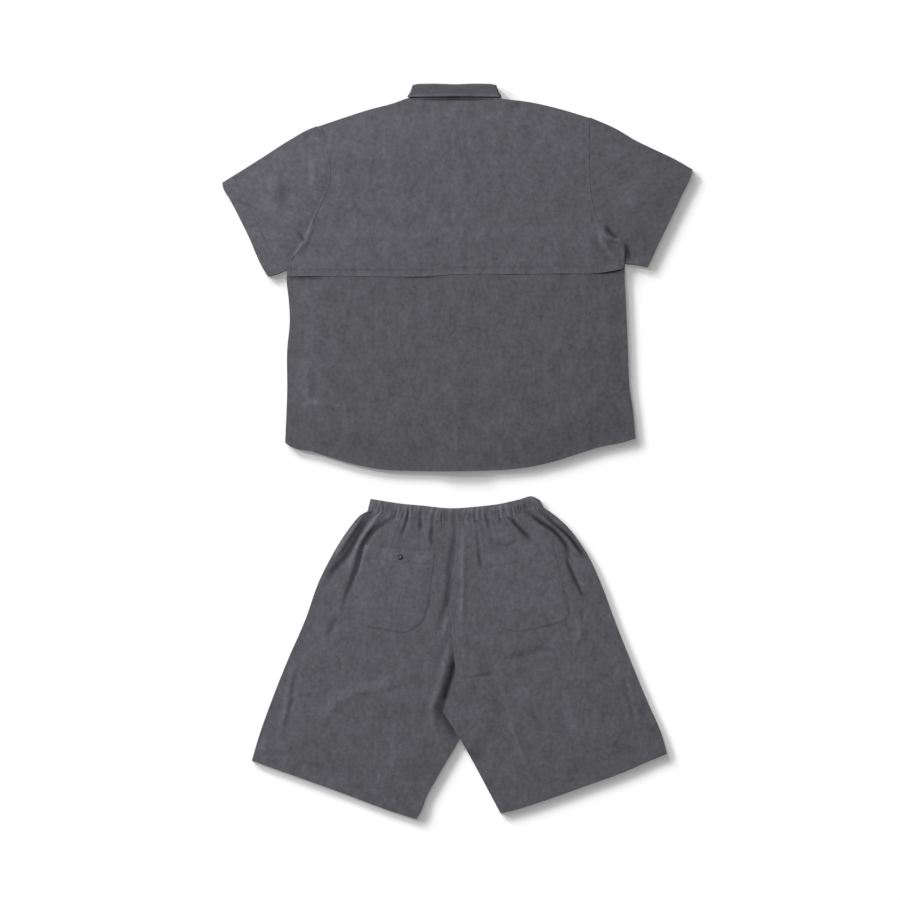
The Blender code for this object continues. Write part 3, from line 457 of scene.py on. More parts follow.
# Cuts of cloth: size in metres and square metres, and turn in degrees and place on the flat cloth
Cut = namedtuple("Cut", "width length area turn place", defaults=(0, (0.0, 0.0)))
CUTS = {
    "shirt_back_cape": Cut(0.66, 0.37, 0.200, 0, (1.3, 0.4)),
    "shirt_back_lower": Cut(0.70, 0.44, 0.280),
    "shirt_front_left": Cut(0.37, 0.74, 0.220),
    "shirt_front_right": Cut(0.37, 0.74, 0.220),
    "shirt_sleeve_left": Cut(0.54, 0.24, 0.080, 62, (-0.7, 2.1)),
    "shirt_sleeve_right": Cut(0.54, 0.24, 0.080, -62, (0.7, 2.1)),
    "collar_stand": Cut(0.46, 0.035, 0.012),
    "collar_fall": Cut(0.48, 0.080, 0.018),
    "shorts_back_left": Cut(0.44, 0.64, 0.170, -3, (-0.9, -1.7)),
    "shorts_back_right": Cut(0.44, 0.64, 0.170, 3, (0.9, -1.7)),
    "shorts_front_left": Cut(0.44, 0.64, 0.165, -3, (-0.9, -1.7)),
    "shorts_front_right": Cut(0.44, 0.64, 0.165, 3, (0.9, -1.7)),
    "shorts_waistband": Cut(0.96, 0.026, 0.0249),
    "shorts_pocket_left": Cut(0.16, 0.17, 0.024, -3, (2.2, -3.3)),
    "shorts_pocket_right": Cut(0.17, 0.18, 0.024, 7, (2.2, 7.7)),
}

# Colours, as linear light
DENIM_LIGHT = (0.1085, 0.1063, 0.1216)
CAPE_TINT = 1.0
LOWER_BACK_TINT = 0.94
FRONT_TINT = 0.97
# Left sleeve lighter and right sleeve darker: painted light, from the side the key light falls from
SLEEVE_TINTS = (1.02, 0.98)
COLLAR_TINT = 0.84
# Pieces of the shorts lighter: painted light that makes up for the key light being weaker there
LEG_TINTS = (1.11, 1.12)
BAND_TINT = 1.14
POCKET_TINT = 1.16
THREAD_COLOUR = (0.118, 0.115, 0.130)
BUTTON_COLOUR = (0.084, 0.082, 0.094)
FLOOR_WHITE = 0.90

# Camera and lights
FRAME_WIDTH = 1.755
LENS = 100.0
SENSOR = 36.0
FRAME_CENTRE = (-0.01365, 0.0026)
WORLD_LIGHT = 0.22
FLOOR_FILL = 0.39
KEY_PLACE = (-3.9, 3.7, 2.65)
KEY_SIZE = 1.6
KEY_POWER = 480.0
LowSun = namedtuple("LowSun", "turn rise spread power")
LOW_SUNS = (
    LowSun(25.0, 7.8, 6.6, 4.71),
    LowSun(45.0, 6.3, 5.6, 9.06),
    LowSun(65.0, 8.3, 7.4, 3.93),
    LowSun(65.0, 22.0, 18.0, 0.76),
)
FLOOR_SIZE = 60.0
FLOOR_DROP = -0.0002


# Curves and shapes in plan
def curve(points, steps):
    """Places along a smooth curve through points in millimetres, at so many steps or at given shares."""
    places = np.array(points, float) * MM
    run = np.concatenate([[0.0], np.cumsum(np.linalg.norm(np.diff(places, axis=0), axis=1))])
    slope = np.gradient(places, run, axis=0)
    at = np.linspace(0.0, run[-1], CURVE_FINENESS * len(places))
    part = np.clip(np.searchsorted(run, at, side="right") - 1, 0, len(places) - 2)
    length = (run[part + 1] - run[part])[:, None]
    t = (at[:, None] - run[part][:, None]) / length
    fine = ((1 + 2 * t) * (1 - t) ** 2 * places[part] + t * (1 - t) ** 2 * length * slope[part]
            + t ** 2 * (3 - 2 * t) * places[part + 1] - t ** 2 * (1 - t) * length * slope[part + 1])
    return spaced(fine, steps)


def spaced(line, steps):
    """Places along a line of places, at a number of even steps or at given shares of its length."""
    run = np.concatenate([[0.0], np.cumsum(np.linalg.norm(np.diff(line, axis=0), axis=1))])
    shares = np.linspace(0.0, 1.0, steps + 1) if isinstance(steps, int) else np.asarray(steps)
    axes = range(line.shape[1])
    return np.stack([np.interp(shares * run[-1], run, line[:, axis]) for axis in axes], axis=1)


def line_length(line):
    """Length of a line of places."""
    return float(np.linalg.norm(np.diff(line, axis=0), axis=1).sum())


def at_x(line, xs):
    """Places on a line that runs one way along X, at the given X in millimetres."""
    rising = line if line[0, 0] < line[-1, 0] else line[::-1]
    x = np.array(xs, float) * MM
    return np.stack([x, np.interp(x, rising[:, 0], rising[:, 1])], axis=1)


def chain(*parts):
    """One line from (points, steps) parts that start where the one before ends."""
    lines = [curve(points, steps) for points, steps in parts]
    return np.vstack([lines[0]] + [line[1:] for line in lines[1:]])


def long_line(*tables):
    """One finely sampled line through several tables of points."""
    return chain(*[(table, SEAM_STEPS) for table in tables])


def shifted(line, x=0.0, y=0.0):
    """The line, moved by x and y metres."""
    return line + np.array([x, y])


def inset(line, distance):
    """The line, moved to its left by a distance in metres."""
    along = np.gradient(line, axis=0)
    along /= np.maximum(np.linalg.norm(along, axis=1, keepdims=True), TINY)
    return line + distance * np.stack([-along[:, 1], along[:, 0]], axis=1)


def mirrored(points):
    """Points in millimetres, mirrored about the middle of the collar and in reverse order."""
    return tuple((2 * COLLAR_CENTRE_X - x, y) for x, y in reversed(points))


def graded(length, step):
    """Shares of a length at even steps, closer together near both ends."""
    near = np.arange(0.0, EDGE_ZONE, EDGE_STEP)
    middle = np.linspace(EDGE_ZONE, length - EDGE_ZONE, max(3, int((length - 2 * EDGE_ZONE) / step)))
    return np.concatenate([near, middle, length - near[::-1]]) / length


def patch(low, high, left, right, step):
    """Places inside four lines; rows run from low to high, and columns from left to right."""
    across = graded(max(line_length(low), line_length(high)), step)
    upward = graded(max(line_length(left), line_length(right)), step)
    low, high = spaced(low, across), spaced(high, across)
    left, right = spaced(left, upward), spaced(right, upward)
    u, v = across[None, :, None], upward[:, None, None]
    left = np.vstack([low[:1], left[1:-1], high[:1]])
    right = np.vstack([low[-1:], right[1:-1], high[-1:]])
    corners = (1 - v) * ((1 - u) * low[0] + u * low[-1]) + v * ((1 - u) * high[0] + u * high[-1])
    return (1 - v) * low[None] + v * high[None] + (1 - u) * left[:, None] + u * right[:, None] - corners


def smooth(value):
    """0 below 0, 1 above 1, and a soft step between."""
    t = np.clip(value, 0.0, 1.0)
    return t * t * (3.0 - 2.0 * t)


def line_distance(x, y, line):
    """Distance from each place to a line, and how far along the line its nearest point is, 0 to 1."""
    best = np.full(x.shape, np.inf)
    along = np.zeros(x.shape)
    count = len(line) - 1
    for k in range(count):
        (ax, ay), (bx, by) = line[k], line[k + 1]
        dx, dy = bx - ax, by - ay
        t = np.clip(((x - ax) * dx + (y - ay) * dy) / max(dx * dx + dy * dy, TINY), 0.0, 1.0)
        distance = np.hypot(x - ax - t * dx, y - ay - t * dy)
        nearer = distance < best
        best = np.where(nearer, distance, best)
        along = np.where(nearer, (k + t) / count, along)
    return best, along


def near_line(x, y, line, reach):
    """Like line_distance, worked out only within reach of the line and infinite beyond it."""
    low, high = line.min(axis=0) - reach, line.max(axis=0) + reach
    close = (x > low[0]) & (x < high[0]) & (y > low[1]) & (y < high[1])
    distance = np.full(x.shape, np.inf)
    along = np.zeros(x.shape)
    if close.any():
        distance[close], along[close] = line_distance(x[close], y[close], line)
    return distance, along


def depth_inside(x, y, outline):
    """Distance to a closed outline: positive inside it, negative outside."""
    ring = np.vstack([outline, outline[:1]])
    distance, _ = line_distance(x, y, ring)
    inside = np.zeros(x.shape, bool)
    for (ax, ay), (bx, by) in zip(ring[:-1], ring[1:]):
        if ay != by:
            crosses = (ay > y) != (by > y)
            inside ^= crosses & (x < (bx - ax) * (y - ay) / (by - ay) + ax)
    return np.where(inside, distance, -distance)


# Outlines that the upper layers rise inside
NECK_FRONT = tuple((row.neck_x, row.neck_y) for row in COLLAR_FRONT)
NECK_BACK = tuple((row.neck_x, row.neck_y) for row in (COLLAR_SIDE,) + COLLAR_BACK)
NECK_SIDE = (COLLAR_SIDE.neck_x, COLLAR_SIDE.neck_y)
SHIRT_OUTLINE = chain(
    (SHOULDER_LEFT, 6), (NECK_BACK + mirrored(NECK_BACK)[1:], 6), (SHOULDER_RIGHT, 6),
    (SLEEVE_TOP_RIGHT, 8), (CUFF_RIGHT[::-1], 6), (SLEEVE_UNDER_RIGHT[::-1], 2), (SIDE_RIGHT[::-1], 8),
    (HEM_RIGHT[::-1], 8), (HEM_LEFT[::-1], 8), (SIDE_LEFT, 8), (SLEEVE_UNDER_LEFT, 2), (CUFF_LEFT, 6),
    (SLEEVE_TOP_LEFT[::-1], 8))
SHORTS_OUTLINE = np.vstack([
    chain((OUTSEAM_LEFT, 16)),
    np.array([(-172, BAND_CLEAR_Y), (166, BAND_CLEAR_Y)]) * MM,
    chain((OUTSEAM_RIGHT[::-1], 16), (LEG_HEM_RIGHT[::-1], 4)),
    chain((INSEAM_RIGHT[:4], 4)),
    chain((INSEAM_LEFT[:6][::-1], 6)),
    chain((LEG_HEM_LEFT[::-1], 4))])
CROTCH_OVERLAP = np.vstack([
    chain((CROTCH_LEFT[::-1], 3), (INSEAM_LEFT[5:][::-1], 2)), chain((INSEAM_RIGHT[3:], 2)),
    chain((CROTCH_RIGHT, 3))])
LEAF_LEFT = np.vstack([
    chain((tuple((row.edge_x, row.edge_y) for row in COLLAR_FRONT[:3]), 2)),
    chain((tuple((row.edge_x, row.edge_y) for row in COLLAR_FRONT[2:]), 4)),
    chain((tuple((row.roll_x, row.roll_y) for row in (COLLAR_SIDE,) + COLLAR_FRONT[::-1]), 5))])
LEAF_RIGHT = LEAF_LEFT * np.array([-1, 1]) + np.array([2 * COLLAR_CENTRE_X * MM, 0])

# Lines of the seams and edges
CAPE_EDGE_LINE = long_line(CAPE_EDGE)
ARMHOLE_LEFT_LINE = long_line(ARMHOLE_LEFT)
ARMHOLE_RIGHT_LINE = long_line(ARMHOLE_RIGHT)
CUFF_LEFT_LINE = long_line(CUFF_LEFT)
CUFF_RIGHT_LINE = long_line(CUFF_RIGHT)
SHIRT_HEM_LINE = long_line(HEM_LEFT[:-1] + HEM_RIGHT[1:])
WAIST_LINE = long_line(WAIST)
CENTRE_LINE = long_line(CENTRE_SEAM)
OUTSEAM_LEFT_LINE = long_line(OUTSEAM_LEFT)
OUTSEAM_RIGHT_LINE = long_line(OUTSEAM_RIGHT)
LEG_HEM_LEFT_LINE = long_line(LEG_HEM_LEFT)
LEG_HEM_RIGHT_LINE = long_line(LEG_HEM_RIGHT)


# Heights
class CrownField:
    """How far the upper layer has risen, from 0 at the outline to 1 well inside it, without ridges."""

    def __init__(self, outline):
        self.low = outline.min(axis=0) - RASTER_MARGIN
        high = outline.max(axis=0) + RASTER_MARGIN
        counts = np.ceil((high - self.low) / RASTER_STEP).astype(int) + 1
        x = self.low[0] + RASTER_STEP * np.arange(counts[0])
        y = self.low[1] + RASTER_STEP * np.arange(counts[1])
        grid_x, grid_y = np.meshgrid(x, y)
        values = smooth(depth_inside(grid_x, grid_y, outline) / CROWN_RAMP)
        for _ in range(RASTER_BLURS):
            values[1:-1] = (values[:-2] + 2 * values[1:-1] + values[2:]) / 4
            values[:, 1:-1] = (values[:, :-2] + 2 * values[:, 1:-1] + values[:, 2:]) / 4
        self.values = values

    def __call__(self, x, y):
        rows, columns = self.values.shape
        across = np.clip((x - self.low[0]) / RASTER_STEP, 0, columns - 2)
        upward = np.clip((y - self.low[1]) / RASTER_STEP, 0, rows - 2)
        column, row = across.astype(int), upward.astype(int)
        u, v = across - column, upward - row
        low = (1 - u) * self.values[row, column] + u * self.values[row, column + 1]
        high = (1 - u) * self.values[row + 1, column] + u * self.values[row + 1, column + 1]
        return (1 - v) * low + v * high


SHIRT_RISE = CrownField(SHIRT_OUTLINE)
SHORTS_RISE = CrownField(SHORTS_OUTLINE)


def crease_sum(x, y, creases, column):
    """Sum of one column of a table of creases: soft lines that fade out at both ends."""
    total = np.zeros(x.shape)
    for crease in creases:
        amount = getattr(crease, column)
        if amount:
            width = crease.width * MM
            line = curve(crease.line, CREASE_STEPS)
            distance, along = near_line(x, y, line, CREASE_REACH * width)
            fade = smooth(CREASE_FADE * along) * smooth(CREASE_FADE * (1 - along))
            total += amount * fade * np.exp(-(distance / width) ** 2)
    return total


def crease_height(x, y, creases):
    """Height that a table of creases adds."""
    return MM * crease_sum(x, y, creases, "height")


def crease_tone(x, y, creases):
    """Painted shade in troughs and painted highlight on ridges, plus each crease's own painted tone."""
    shade = CREASE_SHADE * np.tanh(crease_sum(x, y, creases, "height")) + crease_sum(x, y, creases, "tone")
    return np.maximum(shade, DARKEST)


def swells(x, y):
    """Gentle swells of the cloth."""
    total = np.zeros(x.shape)
    for swell in SWELLS:
        turn = np.radians(swell.turn)
        along = x * np.cos(turn) + y * np.sin(turn)
        total += swell.height * MM * np.sin(2 * np.pi * along / (swell.length * MM) + swell.phase)
    return total


def band(x, y, line, width, rise):
    """Doubled cloth along a line, as height and tone: a raised strip with a stitched trough at its end; the
    tone is a little lighter along the strip and painted shade in the trough.
    """
    across = width * MM
    reach = across + BAND_MARGIN
    distance, along = near_line(x, y, line, reach)
    beyond = np.where(np.isfinite(distance), distance - across, reach)
    raised = rise * (1 - smooth(0.5 + beyond / BAND_SOFT))
    trough = np.exp(-(beyond / GROOVE_WIDTH) ** 2)
    run = along * line_length(line)
    fine, drift, broad = PUCKER_RUNS
    pucker = np.sin(run / fine + PUCKER_DRIFT * np.sin(run / drift)) * np.sin(run / broad)
    soft = smooth(1 - np.abs(beyond + across / 2) / (BAND_FADE * across))
    deep = min(1.0, width / PUCKER_WIDTH)
    height = raised - deep * GROOVE_DEPTH * trough + deep * HEM_PUCKER * pucker * soft
    return height, BAND_SHADE * soft - GROOVE_SHADE * trough


def seam(x, y, line):
    """Trough along a seam, as height and tone, the tone being painted shade in the trough."""
    distance, _ = near_line(x, y, line, GROOVE_REACH)
    trough = np.exp(-(distance / GROOVE_WIDTH) ** 2)
    return -GROOVE_DEPTH * trough, -GROOVE_SHADE * trough


def sewn(x, y, bands, seams=()):
    """Height and tone of all the bands, as rows of line, width and rise, and of the seams."""
    height, shade = np.zeros(x.shape), np.zeros(x.shape)
    for parts in [band(x, y, *row) for row in bands] + [seam(x, y, line) for line in seams]:
        height += parts[0]
        shade += parts[1]
    return height, shade


def soft_max(a, b):
    """The larger of two heights, without a kink where they cross."""
    return (a + b + np.sqrt((a - b) ** 2 + SOFT_MAX ** 2)) / 2


def centre_x(y):
    """X of the centre front at y."""
    top_x, top_y = CENTRE_TOP
    hem_x, hem_y = CENTRE_HEM
    return (hem_x + (top_x - hem_x) * (y / MM - hem_y) / (top_y - hem_y)) * MM


def leaf_lift(x, y):
    """Rise of the fronts over the collar's points."""
    depth = np.maximum(depth_inside(x, y, LEAF_LEFT), depth_inside(x, y, LEAF_RIGHT))
    return LAYER * smooth(1 + (depth + LEAF_MARGIN) / LEAF_RAMP)


def button_lift(x, y):
    """Rise of the fronts over the row of buttons."""
    low_y = BUTTON_TOP_Y - (BUTTON_COUNT - 1) * BUTTON_PITCH
    beside = np.abs(x - centre_x(y)) - PLACKET_HALF
    beyond = np.maximum(y - BUTTON_TOP_Y, low_y - y) - BUTTON_LIFT_REACH
    return BUTTON_LIFT * smooth(1 - beside / PLACKET_RAMP) * smooth(1 - beyond / BUTTON_LIFT_RAMP)


def left_front_level(x, y):
    """Underside of the left front, which rests on the surface."""
    return np.maximum(leaf_lift(x, y), button_lift(x, y))


def lap_share(x, y, margin):
    """1 where the fronts overlap, and 0 away from there; margin widens it."""
    beside = np.abs(x - centre_x(y)) - PLACKET_HALF - margin
    above = y - PLACKET_END_Y
    return smooth(1 - beside / PLACKET_RAMP) * smooth(1 - above / PLACKET_RAMP)


def right_front_level(x, y):
    """Underside of the right front, which lies on the left front at the centre."""
    return left_front_level(x, y) + LAYER * lap_share(x, y, 0.0)


def front_relief(x, y):
    """Shallow creases of the fronts, well inside their edges."""
    return SHIRT_RISE(x, y) ** 2 * crease_height(x, y, FRONT_CREASES)


def shirt_level(x, y):
    """Underside of the shirt's upper layer, with its creases."""
    rise = SHIRT_RISE(x, y)
    fronts = left_front_level(x, y) + LAYER * lap_share(x, y, PLACKET_MARGIN)
    relief = crease_height(x, y, SHIRT_CREASES) + swells(x, y) * rise
    return LAYER + np.maximum(soft_max(SHIRT_CROWN * rise, fronts) + relief, fronts - GAP / 2)


def cape_level(x, y):
    """Underside of the cape, which lies on the lower back and stands up a little at its free edge."""
    lap = (CLOTH + LAP_CLEAR) * smooth(1 - (y - CAPE_UNDERLAP_Y - LAP_CLEAR) / CAPE_LIFT_RAMP)
    edge = np.interp(x, *CAPE_EDGE_LINE.T)
    near = smooth(1 - (y - edge) / CAPE_EDGE_REACH)
    ripple = sum(lift.height * MM * np.exp(-((x / MM - lift.x) / lift.width) ** 2) for lift in CAPE_LIFTS)
    return shirt_level(x, y) + lap + near * ripple


def cape_thinner(x, y):
    """How much thinner the cape is pressed toward its free edge."""
    edge = np.interp(x, *CAPE_EDGE_LINE.T)
    return CAPE_THINNER * smooth(1 - (y - edge) / CAPE_THIN_EDGE)


def crotch_share(x, y, margin):
    """1 where the right leg lies on the left leg, and 0 away from there; margin widens it."""
    return smooth(1 + (depth_inside(x, y, CROTCH_OVERLAP) + margin) / CROTCH_RAMP)


def waist_share(x, y):
    """How far across the waist a place lies, 0 to 1, following the fan of the cloth below it."""
    left = np.interp(-y, -OUTSEAM_LEFT_LINE[::-1, 1], OUTSEAM_LEFT_LINE[::-1, 0])
    right = np.interp(-y, -OUTSEAM_RIGHT_LINE[::-1, 1], OUTSEAM_RIGHT_LINE[::-1, 0])
    return np.clip((x - left) / (right - left), 0.0, 1.0)


def gather_wave(share):
    """The gathers across the waist, unevenly spaced, 0 in the valleys and 1 on the ridges."""
    drift = sum(size * np.sin(2 * np.pi * waves * share + phase) for waves, phase, size in GATHER_DRIFTS)
    wave = np.abs(np.sin(np.pi * BAND_WAVES * (share + drift)))
    wave = (1 - FINE_GATHERS) * wave + FINE_GATHERS * np.abs(np.sin(np.pi * FINE_WAVES * (share - drift)))
    size = GATHER_SIZE
    height = size.base + size.swing * np.sin(2 * np.pi * size.waves * share + size.phase)
    return height * wave ** GATHER_POWER


def gathers(x, y):
    """Gathers that run down from the waistband and fade out."""
    below = np.maximum(np.interp(x, *WAIST_LINE.T) - y, 0.0)
    share = waist_share(x, y)
    size = GATHER_REACH
    reach = size.base + size.swing * np.sin(2 * np.pi * size.waves * share + size.phase) ** 2
    return GATHER_HEIGHT * (gather_wave(share) - GATHER_MIDDLE) * np.exp(-below / (GATHER_FADE * reach))


def shorts_relief(x, y):
    """Creases, gathers and swells of the shorts' upper layer."""
    swell = SHORTS_SWELLS * swells(x, y) * SHORTS_RISE(x, y)
    return crease_height(x, y, SHORTS_CREASES) + gathers(x, y) + swell


def left_leg_level(x, y):
    """Underside of the left leg's back, and of the right leg's where it rests on the surface."""
    pressed = 1 - crotch_share(x, y, CROTCH_MARGIN)
    crown = SHORTS_CROWN * SHORTS_RISE(x, y)
    roll = crease_height(x, y, GAP_CREASES)
    return LAYER + np.maximum((crown + shorts_relief(x, y)) * pressed, 0.0) + roll


def leg_front_relief(x, y):
    """Shallow creases of the legs' fronts, well inside their edges."""
    return LEG_FRONT_DEPTH * SHORTS_RISE(x, y) ** 2 * crease_height(x, y, LEG_FRONT_CREASES)


def right_leg_front_level(x, y):
    """Underside of the right leg's front, which lies on the left leg at the crotch."""
    rise = (2 * LAYER + CROTCH_CLEAR) * crotch_share(x, y, CROTCH_MARGIN)
    return np.maximum(rise, leg_front_relief(x, y))


def right_leg_level(x, y):
    """Underside of the right leg's back."""
    rise = (2 * LAYER + 2 * CROTCH_CLEAR) * crotch_share(x, y, CROTCH_BACK_MARGIN)
    return rise + left_leg_level(x, y)


# Meshes
def placed(name, data):
    """A new object of the scene with this data."""
    made = bpy.data.objects.new(name, data)
    bpy.context.scene.collection.objects.link(made)
    return made


def closed_mesh(name, vertices, faces, look):
    """A smooth mesh whose faces all face outward."""
    mesh = bpy.data.meshes.new(name)
    mesh.from_pydata(vertices.tolist(), [], faces)
    work = bmesh.new()
    work.from_mesh(mesh)
    bmesh.ops.recalc_face_normals(work, faces=work.faces)
    work.to_mesh(mesh)
    work.free()
    mesh.shade_smooth()
    mesh.materials.append(look)
    return mesh


def keep(made, node):
    """Makes a piece part of the set, in place of its CAD node."""
    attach(made, "root")
    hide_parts(node)


def cloth_piece(node, vertices, faces, rim, plan, shade, look):
    """A laid sheet of cloth with a crisp rim, its place on the flat cloth and its painted shade and
    highlights.
    """
    cut = CUTS[node]
    mesh = closed_mesh(node + "_cloth", vertices, faces.tolist(), look)
    ends = np.empty(2 * len(mesh.edges), np.int32)
    mesh.edges.foreach_get("vertices", ends)
    sharp = np.isin(ends, rim).reshape(-1, 2).all(axis=1)
    mesh.attributes.new("sharp_edge", "BOOLEAN", "EDGE").data.foreach_set("value", sharp)
    angle = np.radians(cut.turn)
    spin = np.array([[np.cos(angle), -np.sin(angle)], [np.sin(angle), np.cos(angle)]])
    flat = plan @ spin + np.array(cut.place)
    corners = np.empty(len(mesh.loops), np.int32)
    mesh.loops.foreach_get("vertex_index", corners)
    layer = mesh.uv_layers.new(name="cloth")
    layer.data.foreach_set("uv", flat[corners].astype(np.float32).ravel())
    painted_shading = mesh.attributes.new("shade", "FLOAT", "POINT")
    painted_shading.data.foreach_set("value", np.asarray(shade, np.float32).ravel())
    made = placed(node + "_cloth", mesh)
    keep(made, node)


def inner_ring(plan):
    """The grid with its outer ring drawn in a little, so that the edge can be rounded."""
    drawn = plan.copy()
    for edge, inside in ((0, 1), (-1, -2)):
        for axis in (0, 1):
            outer = np.take(plan, edge, axis=axis)
            step = np.take(plan, inside, axis=axis) - outer
            step *= EDGE_ROUND / np.maximum(np.linalg.norm(step, axis=-1, keepdims=True), TINY)
            if axis == 0:
                drawn[edge] += step
            else:
                drawn[:, edge] += step
    return drawn


def grid_faces(rows, columns, start=0, flip=False):
    """Quads of a grid of places."""
    index = start + np.arange(rows * columns).reshape(rows, columns)
    quads = np.stack([index[:-1, :-1], index[:-1, 1:], index[1:, 1:], index[1:, :-1]], axis=-1)
    quads = quads.reshape(-1, 4)
    return quads[:, ::-1] if flip else quads


def rim_index(rows, columns):
    """Places on the outer ring of a grid, in order."""
    index = np.arange(rows * columns).reshape(rows, columns)
    return np.concatenate([index[0, :-1], index[:-1, -1], index[-1, :0:-1], index[:0:-1, 0]])


def shell(node, low, high, flat, shade, look):
    """A piece of cloth between two grids of places, with a rounded edge all round."""
    rows, columns = flat.shape[:2]
    size = rows * columns
    rim = rim_index(rows, columns)
    middle = ((low + high) / 2).reshape(-1, 3)[rim]
    vertices = np.vstack([inner_ring(low).reshape(-1, 3), inner_ring(high).reshape(-1, 3), middle])
    faces = [grid_faces(rows, columns, flip=True), grid_faces(rows, columns, start=size)]
    ring = 2 * size + np.arange(len(rim))
    following = np.roll(np.arange(len(rim)), -1)
    faces.append(np.stack([rim, rim[following], ring[following], ring], axis=1))
    faces.append(np.stack([ring, ring[following], rim[following] + size, rim + size], axis=1))
    place = flat.reshape(-1, 2)
    tones = shade.ravel()
    cloth_piece(node, vertices, np.vstack(faces), np.concatenate([rim, rim + size]),
                np.vstack([place, place, place[rim]]), np.concatenate([tones, tones, tones[rim]]), look)


def fold_nose(edge, inside, low_z, high_z, nose, turns):
    """Places round a folded edge of a flattened tube."""
    out = edge - inside
    out /= np.linalg.norm(out, axis=1, keepdims=True)
    places = edge[:, None] + out[:, None] * (nose * np.cos(turns))[None, :, None]
    heights = ((low_z + high_z) / 2)[:, None] + ((high_z - low_z) / 2)[:, None] * np.sin(turns)[None]
    return np.dstack([places, heights])


def ring_of(plan, low_z, high_z, nose):
    """Closed rings of a flattened tube: lower layer, folded edge, upper layer and the other folded edge."""
    turns = np.radians(NOSE_TURNS)
    last = fold_nose(plan[:, -1], plan[:, -2], low_z[:, -1], high_z[:, -1], nose, turns)
    first = fold_nose(plan[:, 0], plan[:, 1], low_z[:, 0], high_z[:, 0], nose, turns[::-1])
    upper = np.dstack([plan, high_z])[:, ::-1]
    return np.concatenate([np.dstack([plan, low_z]), last, upper, first], axis=1)


def ring_shade(shade):
    """Tone of the rings of a flattened tube whose upper layer has the given tone."""
    rings = len(shade)
    nose = np.zeros((rings, len(NOSE_TURNS)))
    return np.concatenate([np.zeros(shade.shape), nose, shade[:, ::-1], nose], axis=1)


def tube(node, plan, low, high, nose, tone, look):
    """A flattened tube of cloth with rounded ends, whose lower layer rests on the surface."""
    flat = np.zeros(high.shape)
    outer = ring_of(plan, flat, high, nose)
    inner = ring_of(plan, flat + CLOTH, low, GAP)
    shade = ring_shade(tone)
    rings, places = outer.shape[:2]
    size = rings * places
    index = np.arange(size).reshape(rings, places)
    here, there = index, np.roll(index, -1, axis=1)
    wall = np.stack([here[:-1], there[:-1], there[1:], here[1:]], axis=-1).reshape(-1, 4)
    faces = [wall, wall[:, ::-1] + size]
    vertices = [outer.reshape(-1, 3), inner.reshape(-1, 3)]
    tones = [shade.ravel(), shade.ravel()]
    start = 2 * size
    for end, beside in ((0, 1), (-1, -2)):
        middle = (outer[end] + inner[end]) / 2
        away = outer[end] - outer[beside]
        middle = middle + away * EDGE_ROUND / np.maximum(np.linalg.norm(away, axis=1, keepdims=True), TINY)
        ring = start + np.arange(places)
        following = np.roll(ring, -1)
        faces.append(np.stack([here[end], there[end], following, ring], axis=1))
        faces.append(np.stack([ring, following, there[end] + size, here[end] + size], axis=1))
        vertices.append(middle)
        tones.append(shade[end])
        start += places
    vertices = np.vstack(vertices)
    ends = np.concatenate([index[0], index[-1], index[0] + size, index[-1] + size])
    cloth_piece(node, vertices, np.vstack(faces), ends, vertices[:, :2], np.concatenate(tones), look)


# Stitches
def stitch_row(line, distance, top, ends=STITCH_ENDS):
    """Start and end places of the stitches beside a line, at a distance in millimetres to its left."""
    row = spaced(inset(line, distance * MM), np.linspace(*ends, LINE_STEPS))
    count = max(2, int(line_length(row) / STITCH_PITCH))
    shares = (np.arange(count) + STITCH_START) / count
    reach = STITCH_LENGTH / STITCH_PITCH / count
    places = [spaced(row, shares), spaced(row, shares + reach)]
    return np.stack([np.hstack([place, top(*place.T)[:, None]]) for place in places], axis=1)


def add_thread(name, pairs, look, radius=STITCH_RADIUS):
    """One piece of small rounded stitches, each from its first place to its second."""
    pairs = np.asarray(pairs)
    start, end = pairs[:, 0], pairs[:, 1]
    along = end - start
    along /= np.maximum(np.linalg.norm(along, axis=1, keepdims=True), TINY)
    side = np.cross(along, np.array([0.0, 0.0, 1.0]))
    side /= np.maximum(np.linalg.norm(side, axis=1, keepdims=True), TINY)
    rise = np.cross(side, along)
    rings = []
    for share, width in STITCH_PROFILE:
        middle = start + (end - start) * share + rise * radius * (width - STITCH_SUNK)
        for angle in np.linspace(0.0, 2 * np.pi, STITCH_SIDES, endpoint=False):
            spread = side * np.cos(angle) + rise * np.sin(angle)
            rings.append(middle + spread * radius * width)
    places = np.stack(rings, axis=1)
    count, size = places.shape[:2]
    last = len(STITCH_PROFILE) - 1
    pattern = [tuple(range(STITCH_SIDES))[::-1], tuple(last * STITCH_SIDES + k for k in range(STITCH_SIDES))]
    for ring in range(last):
        for k in range(STITCH_SIDES):
            a, b = ring * STITCH_SIDES + k, ring * STITCH_SIDES + (k + 1) % STITCH_SIDES
            pattern.append((a, b, b + STITCH_SIDES, a + STITCH_SIDES))
    faces = [tuple(int(k + n * size) for k in face) for n in range(count) for face in pattern]
    made = placed(name, closed_mesh(name, places.reshape(-1, 3), faces, look))
    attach(made, "root")


# Materials
def new_material(name):
    """An empty node material, with its tree and its shader."""
    made = bpy.data.materials.new(name)
    made.use_nodes = True
    return made, made.node_tree, made.node_tree.nodes["Principled BSDF"]


def noise(tree, coordinates, scale_x, scale_y, detail=2.0):
    """Noise whose spots are scale_x by scale_y metres in size."""
    mapping = tree.nodes.new("ShaderNodeMapping")
    mapping.inputs["Scale"].default_value = (1 / scale_x, 1 / scale_y, 1.0)
    tree.links.new(coordinates, mapping.inputs["Vector"])
    made = tree.nodes.new("ShaderNodeTexNoise")
    made.noise_dimensions = "2D"
    made.inputs["Scale"].default_value = 1.0
    made.inputs["Detail"].default_value = detail
    tree.links.new(mapping.outputs["Vector"], made.inputs["Vector"])
    return made.outputs["Fac"]


